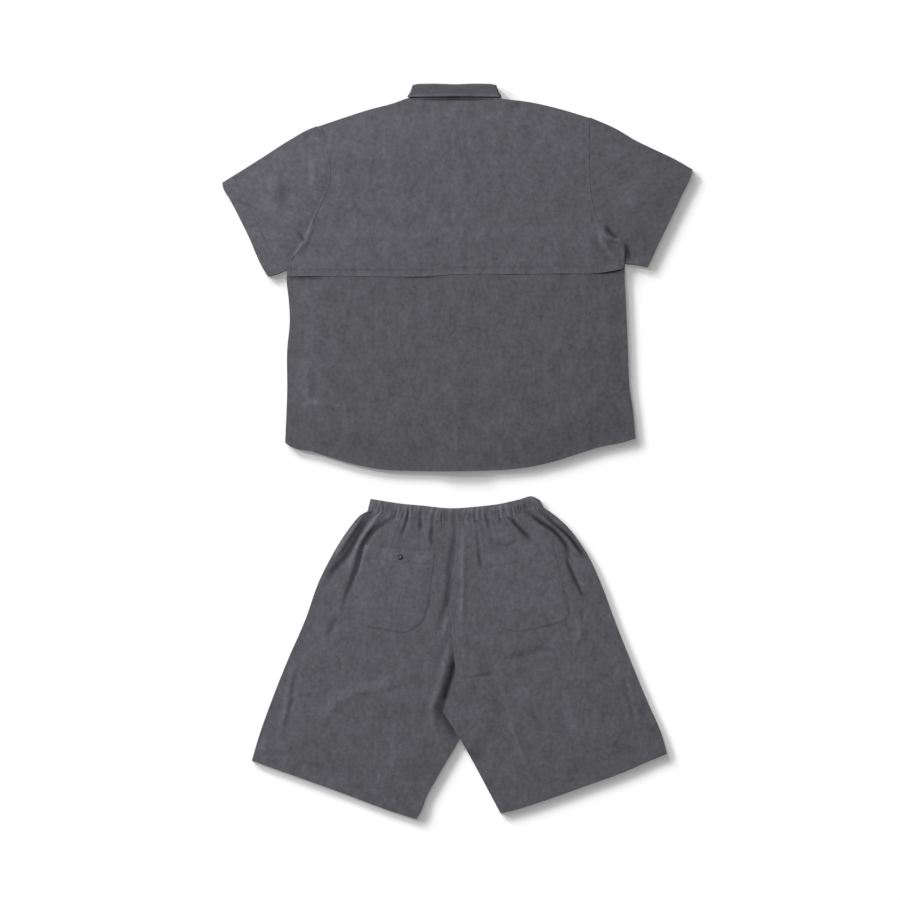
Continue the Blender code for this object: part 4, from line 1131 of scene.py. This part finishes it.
def math_node(tree, operation, *values):
    """Output of a math node whose inputs are numbers or outputs of other nodes."""
    made = tree.nodes.new("ShaderNodeMath")
    made.operation = operation
    for socket, value in zip(made.inputs, values):
        if isinstance(value, bpy.types.NodeSocket):
            tree.links.new(value, socket)
        else:
            socket.default_value = value
    return made.outputs[0]


def combined(tree, parts, constant):
    """A constant plus a weighted sum of outputs."""
    total = constant
    for output, weight in parts:
        total = math_node(tree, "MULTIPLY_ADD", output, weight, total)
    return total


def ramp(tree, value, stops):
    """Colours along a value."""
    made = tree.nodes.new("ShaderNodeValToRGB")
    elements = made.color_ramp.elements
    while len(elements) < len(stops):
        elements.new(0.5)
    for element, (place, colour) in zip(elements, stops):
        element.position = place
        element.color = (*colour, 1.0)
    tree.links.new(value, made.inputs["Fac"])
    return made.outputs["Color"]


def weave(tree, coordinates):
    """Crossing threads, from -1 to 1."""
    split = tree.nodes.new("ShaderNodeSeparateXYZ")
    tree.links.new(coordinates, split.inputs[0])
    turn = 2 * np.pi / WEAVE_PITCH
    waves = [math_node(tree, "SINE", math_node(tree, "MULTIPLY", split.outputs[axis], turn)) for axis in "XY"]
    return math_node(tree, "MULTIPLY", *waves)


def denim(name, tint):
    """Heathered chambray: uneven threads both ways, slubs and a plain weave, made darker and lighter by the
    shade attribute, which holds painted shade and painted highlights.
    """
    made, tree, shader = new_material(name)
    flat = tree.nodes.new("ShaderNodeUVMap")
    flat.uv_map = "cloth"
    place = flat.outputs["UV"]
    parts = [(noise(tree, place, row.across, row.along), row.weight) for row in THREADS]
    crossed = weave(tree, place)
    middle = 0.5 - sum(row.weight for row in THREADS) / 2
    heather = combined(tree, parts + [(crossed, WEAVE_TONE)], middle)
    colours = [(stop, tuple(tint * level * channel for channel in DENIM_LIGHT)) for stop, level in TONES]
    painted_shading = tree.nodes.new("ShaderNodeAttribute")
    painted_shading.attribute_name = "shade"
    shaded = tree.nodes.new("ShaderNodeVectorMath")
    shaded.operation = "SCALE"
    tree.links.new(ramp(tree, heather, colours), shaded.inputs[0])
    tree.links.new(combined(tree, [(painted_shading.outputs["Fac"], 1.0)], 1.0), shaded.inputs["Scale"])
    tree.links.new(shaded.outputs[0], shader.inputs["Base Color"])
    bump = tree.nodes.new("ShaderNodeBump")
    bump.inputs["Strength"].default_value = GRAIN_STRENGTH
    bump.inputs["Distance"].default_value = GRAIN_DEPTH
    grain = combined(tree, [(heather, HEATHER_RELIEF), (crossed, WEAVE_RELIEF)], 0.0)
    tree.links.new(grain, bump.inputs["Height"])
    tree.links.new(bump.outputs["Normal"], shader.inputs["Normal"])
    tree.links.new(combined(tree, [(heather, HEATHER_ROUGH)], DENIM_ROUGH), shader.inputs["Roughness"])
    shader.inputs["Specular IOR Level"].default_value = DENIM_GLOSS
    shader.inputs["Sheen Weight"].default_value = DENIM_SHEEN
    shader.inputs["Sheen Roughness"].default_value = DENIM_SHEEN_ROUGH
    return made


def clouded(name, colour, stops, *spots):
    """A material of one colour that soft spots make darker and lighter, with its tree, shader and spots."""
    made, tree, shader = new_material(name)
    place = tree.nodes.new("ShaderNodeTexCoord").outputs["Object"]
    clouds = combined(tree, [(noise(tree, place, *spots), 1.0)], 0.0)
    colours = [(stop, tuple(level * channel for channel in colour)) for stop, level in stops]
    tree.links.new(ramp(tree, clouds, colours), shader.inputs["Base Color"])
    return made, tree, shader, clouds


def thread_material():
    """Sewing thread, a little lighter than the cloth and uneven along its length."""
    made, _, shader, _ = clouded("sewing_thread", THREAD_COLOUR, THREAD_TONES, *THREAD_SPOT)
    shader.inputs["Roughness"].default_value = THREAD_ROUGH
    shader.inputs["Specular IOR Level"].default_value = THREAD_GLOSS
    return made


def button_material():
    """Dark polished resin with faint clouds."""
    spots = (*BUTTON_SPOT, BUTTON_DETAIL)
    made, tree, shader, clouds = clouded("resin_button", BUTTON_COLOUR, BUTTON_TONES, *spots)
    rough = combined(tree, [(clouds, BUTTON_CLOUD_ROUGH)], BUTTON_ROUGH)
    tree.links.new(rough, shader.inputs["Roughness"])
    return made


# Pieces
class Panel:
    """A flat panel of cloth: its plan, the height of its top and the tone of its creases and seams."""

    def __init__(self, lines, level, bands=(), seams=(), creases=(), thick=CLOTH, step=TOP_STEP,
                 thinner=lambda x, y: 0.0):
        self.plan = patch(*lines, step)
        self.level = level
        self.bands = bands
        self.seams = seams
        self.creases = creases
        self.thick = thick
        self.thinner = thinner

    def top(self, x, y):
        """Height of the cloth's upper face."""
        thick = self.thick - self.thinner(x, y)
        return self.level(x, y) + thick + sewn(x, y, self.bands, self.seams)[0]

    def build(self, node, look):
        """Makes the mesh, in place of its CAD node."""
        x, y = self.plan[..., 0], self.plan[..., 1]
        low = np.dstack([self.plan, self.level(x, y)])
        high = np.dstack([self.plan, self.top(x, y)])
        shade = crease_tone(x, y, self.creases) + sewn(x, y, self.bands, self.seams)[1]
        shell(node, low, high, self.plan, shade, look)
        return self


def make_cape():
    """Upper back, from the neck and shoulders to its free edge."""
    neck = NECK_BACK + mirrored(NECK_BACK)[1:]
    high = shifted(long_line(SHOULDER_LEFT, neck, SHOULDER_RIGHT), y=-GAP)
    bands = ((ARMHOLE_LEFT_LINE, ARMHOLE_BAND, SOFT_RISE), (ARMHOLE_RIGHT_LINE, ARMHOLE_BAND, SOFT_RISE),
             (CAPE_EDGE_LINE, CAPE_HEM, CAPE_HEM_RISE))
    seams = (ARMHOLE_LEFT_LINE, ARMHOLE_RIGHT_LINE)
    cape = Panel((CAPE_EDGE_LINE, high, ARMHOLE_LEFT_LINE, ARMHOLE_RIGHT_LINE), cape_level, bands, seams,
                 SHIRT_CREASES + CAPE_TONES, thinner=cape_thinner)
    look = denim("denim_cape", CAPE_TINT)
    return cape.build("shirt_back_cape", look)


def make_lower_back():
    """Back of the body, from under the cape to the hem."""
    share = np.linspace(0.0, UNDERLAP_SHARE, SEAM_STEPS)
    left_arm = spaced(ARMHOLE_LEFT_LINE, share)
    right_arm = spaced(ARMHOLE_RIGHT_LINE, share)
    left = np.vstack([long_line(SIDE_LEFT), left_arm[1:]])
    right = np.vstack([long_line(SIDE_RIGHT), right_arm[1:]])
    high = spaced(np.array([left[-1], right[-1]]), SEAM_STEPS)
    bands = ((SHIRT_HEM_LINE, SHIRT_HEM, HEM_RISE),)
    back = Panel((SHIRT_HEM_LINE, high, left, right), shirt_level, bands,
                 creases=SHIRT_CREASES + UNDER_CAPE_TONES)
    look = denim("denim_lower_back", LOWER_BACK_TINT)
    return back.build("shirt_back_lower", look)


def make_front(node, hem, shoulder, side, armhole, turn, level, look):
    """One front, from its side and armhole to just past the centre front; turn is -1 on the left."""
    neck = (NECK_SIDE,) + NECK_FRONT[::-1] + ((CENTRE_TOP[0] + 1, CENTRE_TOP[1]),)
    neck += tuple(mirrored(NECK_FRONT)[-2:-4:-1])
    if turn > 0:
        neck = tuple((2 * COLLAR_CENTRE_X - x, y) for x, y in neck)
    past = turn * PLACKET_HALF / MM
    top = np.vstack([curve(shoulder, SEAM_STEPS), curve(neck, SEAM_STEPS)[1:]])
    low_x = np.linspace(hem[0][0], CENTRE_HEM[0] - past, LINE_STEPS)
    high_x = np.linspace(shoulder[0][0], CENTRE_TOP[0] - past, LINE_STEPS)
    low = shifted(at_x(curve(hem, SEAM_STEPS), low_x), y=FRONT_HEM_RISE)
    high = shifted(at_x(top, high_x), y=-2 * GAP)
    outer = np.vstack([long_line(side), armhole[1:]])
    inner = spaced(np.array([low[-1], high[-1]]), SEAM_STEPS)
    lines = (low, high, outer, inner) if turn < 0 else (low[::-1], high[::-1], inner, outer)

    def under(x, y):
        """The lower face, drawn in a little along the hem and the placket."""
        drawn, _ = sewn(x, y, ((low, SHIRT_HEM, 0.0), (inner, 2 * PLACKET_HALF / MM, 0.0)))
        return level(x, y) + front_relief(x, y) + np.maximum(-drawn, 0.0)

    front = Panel(lines, under, creases=FRONT_CREASES, thick=CLOTH - GAP, step=UNDER_STEP)
    front.build(node, look)


def make_fronts():
    """Left front and right front, which overlap at the centre front."""
    look = denim("denim_fronts", FRONT_TINT)
    make_front("shirt_front_left", HEM_LEFT, SHOULDER_LEFT, SIDE_LEFT, ARMHOLE_LEFT_LINE, -1,
               left_front_level, look)
    make_front("shirt_front_right", HEM_RIGHT[::-1], SHOULDER_RIGHT[::-1], SIDE_RIGHT, ARMHOLE_RIGHT_LINE,
               1, right_front_level, look)


def make_sleeve(node, top, under, cuff, armhole, side, look):
    """Short sleeve, open at the armhole and the cuff, and the height of its top; side is -1 on the left."""
    lines = [shifted(line, x=side * SEWN_GAP) for line in (long_line(under), long_line(top), armhole, cuff)]
    plan = np.swapaxes(patch(*lines, TOP_STEP), 0, 1)
    x, y = plan[..., 0], plan[..., 1]
    bands = ((lines[3], CUFF_HEM, HEM_RISE),)
    seams = (lines[2],)
    stitched, seam_shading = sewn(x, y, bands, seams)
    level = shirt_level(x, y)
    shade = crease_tone(x, y, SHIRT_CREASES) + seam_shading
    tube(node, plan, level, level + CLOTH + stitched, FOLD_NOSE + GAP, shade, look)
    return lambda px, py: shirt_level(px, py) + CLOTH + sewn(px, py, bands, seams)[0]


def make_sleeves():
    """Left and right sleeves, and the heights of their tops."""
    left = make_sleeve("shirt_sleeve_left", SLEEVE_TOP_LEFT, SLEEVE_UNDER_LEFT, CUFF_LEFT_LINE,
                       ARMHOLE_LEFT_LINE, -1, denim("denim_left_sleeve", SLEEVE_TINTS[0]))
    right = make_sleeve("shirt_sleeve_right", SLEEVE_TOP_RIGHT, SLEEVE_UNDER_RIGHT, CUFF_RIGHT_LINE,
                        ARMHOLE_RIGHT_LINE, 1, denim("denim_right_sleeve", SLEEVE_TINTS[1]))
    return left, right


def collar_half(side, a, b, low_z, high_z):
    """Two lines of places on half the collar, from centre front to centre back, and which way they face."""
    radius = (high_z - low_z) / 2
    first, last, facing = [], [], []
    for table, z, face in ((COLLAR_FRONT, low_z, -1.0), ((side,), None, 0.0), (COLLAR_BACK, high_z, 1.0)):
        for row in table:
            place_a = np.array([getattr(row, a + "_x"), getattr(row, a + "_y")]) * MM
            place_b = np.array([getattr(row, b + "_x"), getattr(row, b + "_y")]) * MM
            turns = np.radians(COLLAR_TURNS) if z is None else (0.0,)
            for turn in turns:
                height = (low_z + high_z) / 2 + radius * np.sin(turn) if z is None else z
                out = radius * (1 - np.cos(turn)) if z is None else 0.0
                first.append((place_a[0] + out, place_a[1], height))
                last.append((place_b[0] + out, place_b[1], height))
                facing.append(np.sin(turn) if z is None else face)
    return np.array(first), np.array(last), np.array(facing)


def refined(line, count):
    """The places of a line at evenly spread indices between them, with its corners softened."""
    at = np.linspace(0, len(line) - 1, count)
    fine = np.stack([np.interp(at, np.arange(len(line)), column) for column in line.T], axis=1)
    for _ in range(COLLAR_SOFTENING):
        fine[1:-1] = (fine[:-2] + 2 * fine[1:-1] + fine[2:]) / 4
    return fine


def whole_collar(half):
    """A line all round the neck, from its left half."""
    other = half[::-1][1:] * np.array([-1, 1, 1]) + np.array([2 * COLLAR_CENTRE_X * MM, 0, 0])
    return refined(np.vstack([half, other]), COLLAR_PLACES)


def fall_form(share, width, facing):
    """Drop of the fall at its roll, how much thicker the cloth is at its stitched edge, and a painted
    highlight along that edge.
    """
    rolled = np.clip(1 - share * width / COLLAR_ROLL, 0.0, 1.0)
    stitched = (1 - share) * width - COLLAR_EDGE * MM
    raised = BAND_RISE * (1 - smooth(0.5 + stitched / BAND_SOFT))
    groove = GROOVE_DEPTH * np.exp(-(stitched / GROOVE_WIDTH) ** 2)
    tone = COLLAR_EDGE_HIGHLIGHT * np.exp(-(stitched / COLLAR_EDGE_WIDTH) ** 2)
    return COLLAR_ROLL_DROP * facing[None] * rolled ** 2, raised - groove, tone


def make_collar():
    """Stand round the neck, and the fall that rolls over it and ends in two points at the front."""
    stand_side = COLLAR_SIDE._replace(
        neck_x=COLLAR_SIDE.neck_x + STAND_INSET, neck_y=COLLAR_SIDE.neck_y + STAND_RAISE,
        roll_x=COLLAR_SIDE.roll_x + STAND_INSET)
    fall_top = 3 * LAYER + GAP + CLOTH / 2
    layers = (
        ("collar_stand", stand_side, "neck", "roll", LAYER + CLOTH / 2, 2 * LAYER + CLOTH / 2, NECK_CLEAR),
        ("collar_fall", COLLAR_SIDE, "roll", "edge", (CLOTH + BAND_RISE) / 2, fall_top, 0.0),
    )
    look = denim("denim_collar", COLLAR_TINT)
    for node, side, a, b, low_z, high_z, raised in layers:
        first, last, facing = collar_half(side, a, b, low_z, high_z)
        first[:, 1] += raised
        first, last = whole_collar(first), whole_collar(last)
        facing = refined(np.concatenate([facing, facing[::-1][1:]])[:, None], COLLAR_PLACES)[:, 0]
        share = np.linspace(0.0, 1.0, COLLAR_ROWS)[:, None]
        middle = (1 - share[..., None]) * first[None] + share[..., None] * last[None]
        width = np.linalg.norm(last - first, axis=1)[None]
        thick = np.full(middle.shape[:2], CLOTH)
        shade = np.zeros(middle.shape[:2])
        if node == "collar_fall":
            drop, thicker, shade = fall_form(share, width, facing)
            middle[..., 2] -= drop
            thick += thicker
        normal = np.cross(np.gradient(middle, axis=1), np.gradient(middle, axis=0))
        normal /= np.linalg.norm(normal, axis=2, keepdims=True)
        reach = normal * (thick / 2)[..., None]
        along = np.cumsum(np.full(COLLAR_PLACES, COLLAR_PITCH))
        flat = np.dstack([np.broadcast_to(along, middle.shape[:2]), share * width])
        shell(node, middle - reach, middle + reach, flat, shade, look)


def make_leg(node, turn, hem, outseam, inner, level, look):
    """Front or back of one leg; turn is -1 on the left. Only the backs show, with seams and creases."""
    shares = np.linspace(0.0, 0.5, SEAM_STEPS) + (0.0 if turn < 0 else 0.5)
    high = shifted(spaced(WAIST_LINE, shares), x=turn * SEWN_GAP, y=-SEWN_GAP)
    inner = shifted(long_line(*inner), x=turn * SEWN_GAP)
    lines = (hem, high, outseam, inner) if turn < 0 else (hem, high, inner, outseam)
    if "front" in node:
        leg = Panel(lines, level, creases=LEG_FRONT_CREASES, step=UNDER_STEP)
        return leg.build(node, look)
    creases = SHORTS_CREASES + (GAP_CREASES if turn < 0 else ())
    leg = Panel(lines, level, ((hem, LEG_HEM, HEM_RISE),), (CENTRE_LINE,), creases)
    return leg.build(node, look)


def make_legs():
    """Left and right backs, and the fronts that they lie on."""
    left = (-1, LEG_HEM_LEFT_LINE, OUTSEAM_LEFT_LINE, (INSEAM_LEFT, CROTCH_LEFT, CENTRE_SEAM))
    right = (1, LEG_HEM_RIGHT_LINE, OUTSEAM_RIGHT_LINE, (INSEAM_RIGHT, CROTCH_RIGHT, CENTRE_SEAM))
    left_look = denim("denim_left_leg", LEG_TINTS[0])
    right_look = denim("denim_right_leg", LEG_TINTS[1])
    backs = (make_leg("shorts_back_left", *left, left_leg_level, left_look),
             make_leg("shorts_back_right", *right, right_leg_level, right_look))
    make_leg("shorts_front_left", *left, leg_front_relief, left_look)
    make_leg("shorts_front_right", *right, right_leg_front_level, right_look)
    return backs


def make_waistband():
    """Elastic waistband: a flattened tube whose upper layer is gathered."""
    top = spaced(long_line(BAND_TOP), BAND_PLACES)
    low = spaced(WAIST_LINE, BAND_PLACES)
    share = np.linspace(0.0, 1.0, BAND_ROWS)[:, None, None]
    plan = (1 - share) * top[None] + share * low[None]
    across = np.broadcast_to(np.linspace(0.0, 1.0, BAND_PLACES + 1), plan.shape[:2])
    from_end = np.minimum(across, 1 - across) * line_length(low)
    near_end = smooth(from_end / BAND_BULGE_RAMP)
    down = np.broadcast_to(share[..., 0], plan.shape[:2])
    slant = BAND_SLANT * (0.5 - down) * np.cos(2 * np.pi * across)
    wave = gather_wave(np.clip(across + slant, 0.0, 1.0))
    folded = 2 * CLOTH + GAP
    sewn_to = np.maximum(left_leg_level(low[:, 0], low[:, 1]) + CLOTH - folded, 0.0)
    swell = np.sin(np.pi * np.interp(down, (0.0, 1.0), BAND_SWELL))
    joined = smooth(BAND_JOIN * down)
    own = near_end * swell * (BAND_BULGE + 2 * BAND_WAVE_HEIGHT * wave)
    over = folded + own * (1 - joined) + joined * (sewn_to[None] + BAND_JOIN_WAVE * own * (1 - down))
    # Painted highlight on the ridges of the gathers and painted shade in their valleys
    tube("shorts_waistband", plan, over - CLOTH, over, FOLD_NOSE + CLOTH / 2,
         BAND_TONE * (wave - BAND_TONE_MIDDLE), denim("denim_waistband", BAND_TINT))


def make_pocket(node, table, level, look):
    """A patch pocket, sewn down on three sides, with a hem along its opening."""
    lines = [long_line(table[key]) for key in ("low", "high", "left", "right")]
    outline = np.vstack([lines[0], lines[3][1:], lines[1][::-1][1:], lines[2][::-1][1:]])

    def under(x, y):
        """Underside, sewn close at the edges and a little loose between them."""
        loose = smooth(depth_inside(x, y, outline[::POCKET_STRIDE]) / POCKET_LOOSE_RAMP)
        return level(x, y) + CLOTH + SEWN_GAP + POCKET_LOOSE * loose

    low, high, left, right = lines
    bands = [(line, POCKET_EDGE, -POCKET_THINNER) for line in (low, left, right)]
    bands.append((high, POCKET_HEM, 0.0))
    pocket = Panel(lines, under, bands, (), POCKET_CREASES, thick=POCKET_CLOTH, step=POCKET_STEP)
    pocket.build(node, look)
    rows = ((low, POCKET_STITCH), (left, -POCKET_STITCH), (right, POCKET_STITCH), (high, -POCKET_HEM))
    return [stitch_row(line, distance, pocket.top, POCKET_STITCH_ENDS) for line, distance in rows]


def button_shape(radius):
    """Mesh of a button with a raised rim, a hollow middle and four holes, with its face up."""
    work = bmesh.new()
    rings = []
    for share, height in BUTTON_PROFILE:
        turns = np.linspace(0.0, 2 * np.pi, BUTTON_SEGMENTS, endpoint=False)
        r, z = share * radius, height * BUTTON_THICK
        rings.append([work.verts.new((r * np.cos(a), r * np.sin(a), z)) for a in turns])
    for low, high in zip(rings[:-1], rings[1:]):
        for k in range(BUTTON_SEGMENTS):
            n = (k + 1) % BUTTON_SEGMENTS
            work.faces.new((low[k], low[n], high[n], high[k]))
    work.faces.new(rings[0][::-1])
    work.faces.new(rings[-1])
    bmesh.ops.recalc_face_normals(work, faces=work.faces)
    holes = bmesh.new()
    reach = BUTTON_HOLE_SPREAD * radius
    size = BUTTON_HOLE * radius
    for sx, sy in ((-1, -1), (-1, 1), (1, -1), (1, 1)):
        spot = Matrix.Translation((sx * reach, sy * reach, BUTTON_THICK / 2))
        bmesh.ops.create_cone(holes, cap_ends=True, segments=BUTTON_HOLE_SEGMENTS, radius1=size,
                              radius2=size, depth=3 * BUTTON_THICK, matrix=spot)
    blank, cutter = [placed(part, bpy.data.meshes.new(part)) for part in ("button_blank", "button_holes")]
    for form, part in ((work, blank), (holes, cutter)):
        form.to_mesh(part.data)
        form.free()
    cut = blank.modifiers.new("holes", "BOOLEAN")
    cut.operation = "DIFFERENCE"
    cut.object = cutter
    bpy.context.view_layer.update()
    shape = bpy.data.meshes.new_from_object(blank.evaluated_get(bpy.context.evaluated_depsgraph_get()))
    for part in (blank, cutter):
        bpy.data.objects.remove(part)
    shape.shade_smooth()
    shape.set_sharp_from_angle(angle=np.radians(BUTTON_SHARP))
    return shape


def make_button(node, place, low_z, radius, look, thread, face_down=False):
    """A button, sewn on by two threads through its holes."""
    thick = BUTTON_THICK
    shape = button_shape(radius)
    shape.materials.clear()
    shape.materials.append(look)
    for vertex in shape.vertices:
        x, y, z = vertex.co
        vertex.co = (place[0] + x, place[1] + y, low_z + (thick - z if face_down else z))
    if face_down:
        shape.flip_normals()
    keep(placed(node + "_resin", shape), node)
    face = low_z + thick * (BUTTON_SUNK if face_down else 1 - BUTTON_SUNK)
    reach = BUTTON_HOLE_SPREAD * radius
    pairs = [[(place[0] + end * reach, place[1] + side * reach, face) for end in (-1, 1)] for side in (-1, 1)]
    add_thread(node + "_thread", pairs, thread, BUTTON_THREAD)


def make_buttons(level, thread):
    """Row of buttons on the outside of the fronts, and the button of the left pocket."""
    look = button_material()
    for number in range(BUTTON_COUNT):
        y = BUTTON_TOP_Y - number * BUTTON_PITCH
        make_button(f"front_button_{number + 1}", (centre_x(y), y), 0.0, BUTTON_RADIUS, look, thread, True)
    place = np.array(POCKET_BUTTON) * MM
    z = float(level(place[:1], place[1:])[0])
    make_button("pocket_button", place, z, POCKET_BUTTON_RADIUS, look, thread)


def make_stitching(cape, back, sleeves, legs, pocket_rows, thread):
    """All the topstitching, as joined meshes of small stitches."""
    left_sleeve, right_sleeve = sleeves
    left_leg, right_leg = legs
    cuff, hem = CUFF_HEM - HEM_STITCH_INSET, LEG_HEM - HEM_STITCH_INSET
    shirt = [stitch_row(ARMHOLE_LEFT_LINE, -distance, cape.top) for distance in ARMHOLE_STITCHES]
    shirt += [stitch_row(ARMHOLE_RIGHT_LINE, distance, cape.top) for distance in ARMHOLE_STITCHES]
    shirt += [
        stitch_row(CAPE_EDGE_LINE, CAPE_STITCHES, cape.top),
        stitch_row(SHIRT_HEM_LINE, SHIRT_HEM - HEM_STITCH_INSET, back.top),
        stitch_row(CUFF_LEFT_LINE, -cuff, left_sleeve, CUFF_STITCH_ENDS),
        stitch_row(CUFF_RIGHT_LINE, cuff, right_sleeve, CUFF_STITCH_ENDS)]
    shorts = pocket_rows + [
        stitch_row(LEG_HEM_LEFT_LINE, hem, left_leg.top, LEG_STITCH_ENDS),
        stitch_row(LEG_HEM_RIGHT_LINE, hem, right_leg.top, LEG_STITCH_ENDS)]
    shorts += [stitch_row(CENTRE_LINE, -distance, right_leg.top) for distance in CENTRE_STITCHES]
    add_thread("shirt_stitching", np.vstack(shirt), thread)
    add_thread("shorts_stitching", np.vstack(shorts), thread)


# Floor, lights and camera
def make_floor():
    """A plain white floor, just under the cloth."""
    mesh = bpy.data.meshes.new("floor")
    half = FLOOR_SIZE / 2
    corners = [(sx * half, sy * half, FLOOR_DROP) for sx, sy in ((-1, -1), (1, -1), (1, 1), (-1, 1))]
    mesh.from_pydata(corners, [], [(0, 1, 2, 3)])
    floor = placed("floor", mesh)
    made, _, shader = new_material("floor_paper")
    shader.inputs["Base Color"].default_value = (FLOOR_WHITE, FLOOR_WHITE, FLOOR_WHITE, 1.0)
    shader.inputs["Roughness"].default_value = 1.0
    shader.inputs["Specular IOR Level"].default_value = 0.0
    mesh.materials.append(made)
    return floor


def light(name, kind, power, place, toward=(0.0, 0.0, 0.0)):
    """A lamp at a place, turned toward a point."""
    lamp = bpy.data.lights.new(name, kind)
    lamp.energy = power
    made = placed(name, lamp)
    made.location = place
    made.rotation_euler = (Vector(toward) - Vector(place)).to_track_quat("-Z", "Y").to_euler()
    return made


def light_studio(floor):
    """Soft light from the upper left on the cloth, even light all round, and low suns on the floor."""
    world = bpy.data.worlds.new("studio")
    world.use_nodes = True
    world.node_tree.nodes["Background"].inputs["Color"].default_value = (1.0, 1.0, 1.0, 1.0)
    world.node_tree.nodes["Background"].inputs["Strength"].default_value = WORLD_LIGHT
    bpy.context.scene.world = world
    key = light("key", "AREA", KEY_POWER, KEY_PLACE)
    key.data.shape = "DISK"
    key.data.size = KEY_SIZE
    floor_only = bpy.data.collections.new("floor_only")
    floor_only.objects.link(floor)
    fill = light("floor_fill", "SUN", FLOOR_FILL, (0.0, 0.0, 1.0))
    fill.light_linking.receiver_collection = floor_only
    for number, sun in enumerate(LOW_SUNS):
        turn, rise = np.radians((sun.turn, sun.rise))
        toward = (np.cos(rise) * np.cos(turn), -np.cos(rise) * np.sin(turn), 1.0 - np.sin(rise))
        low = light(f"low_sun_{number + 1}", "SUN", sun.power, (0.0, 0.0, 1.0), toward)
        low.data.angle = np.radians(sun.spread)
        low.light_linking.receiver_collection = floor_only
    not_floor = bpy.data.collections.new("not_floor")
    not_floor.objects.link(floor)
    not_floor.collection_objects[0].light_linking.link_state = "EXCLUDE"
    key.light_linking.receiver_collection = not_floor


def place_camera():
    """Straight above the set, as in the photograph."""
    data = bpy.data.cameras.new("camera")
    data.lens = LENS
    data.sensor_width = SENSOR
    camera = placed("camera", data)
    camera.location = (*FRAME_CENTRE, FRAME_WIDTH * LENS / SENSOR)
    bpy.context.scene.camera = camera
    bpy.context.scene.view_settings.view_transform = "Standard"


def main():
    """Makes every piece, the floor, the lights and the camera."""
    thread = thread_material()
    cape = make_cape()
    back = make_lower_back()
    make_fronts()
    sleeves = make_sleeves()
    make_collar()
    legs = make_legs()
    make_waistband()
    pocket_look = denim("denim_pockets", POCKET_TINT)
    rows = make_pocket("shorts_pocket_left", POCKET_LEFT, left_leg_level, pocket_look)
    rows += make_pocket("shorts_pocket_right", POCKET_RIGHT, right_leg_level, pocket_look)
    make_stitching(cape, back, sleeves, legs, rows, thread)
    make_buttons(lambda x, y: left_leg_level(x, y) + 2 * CLOTH + POCKET_LOOSE, thread)
    floor = make_floor()
    light_studio(floor)
    place_camera()


main()
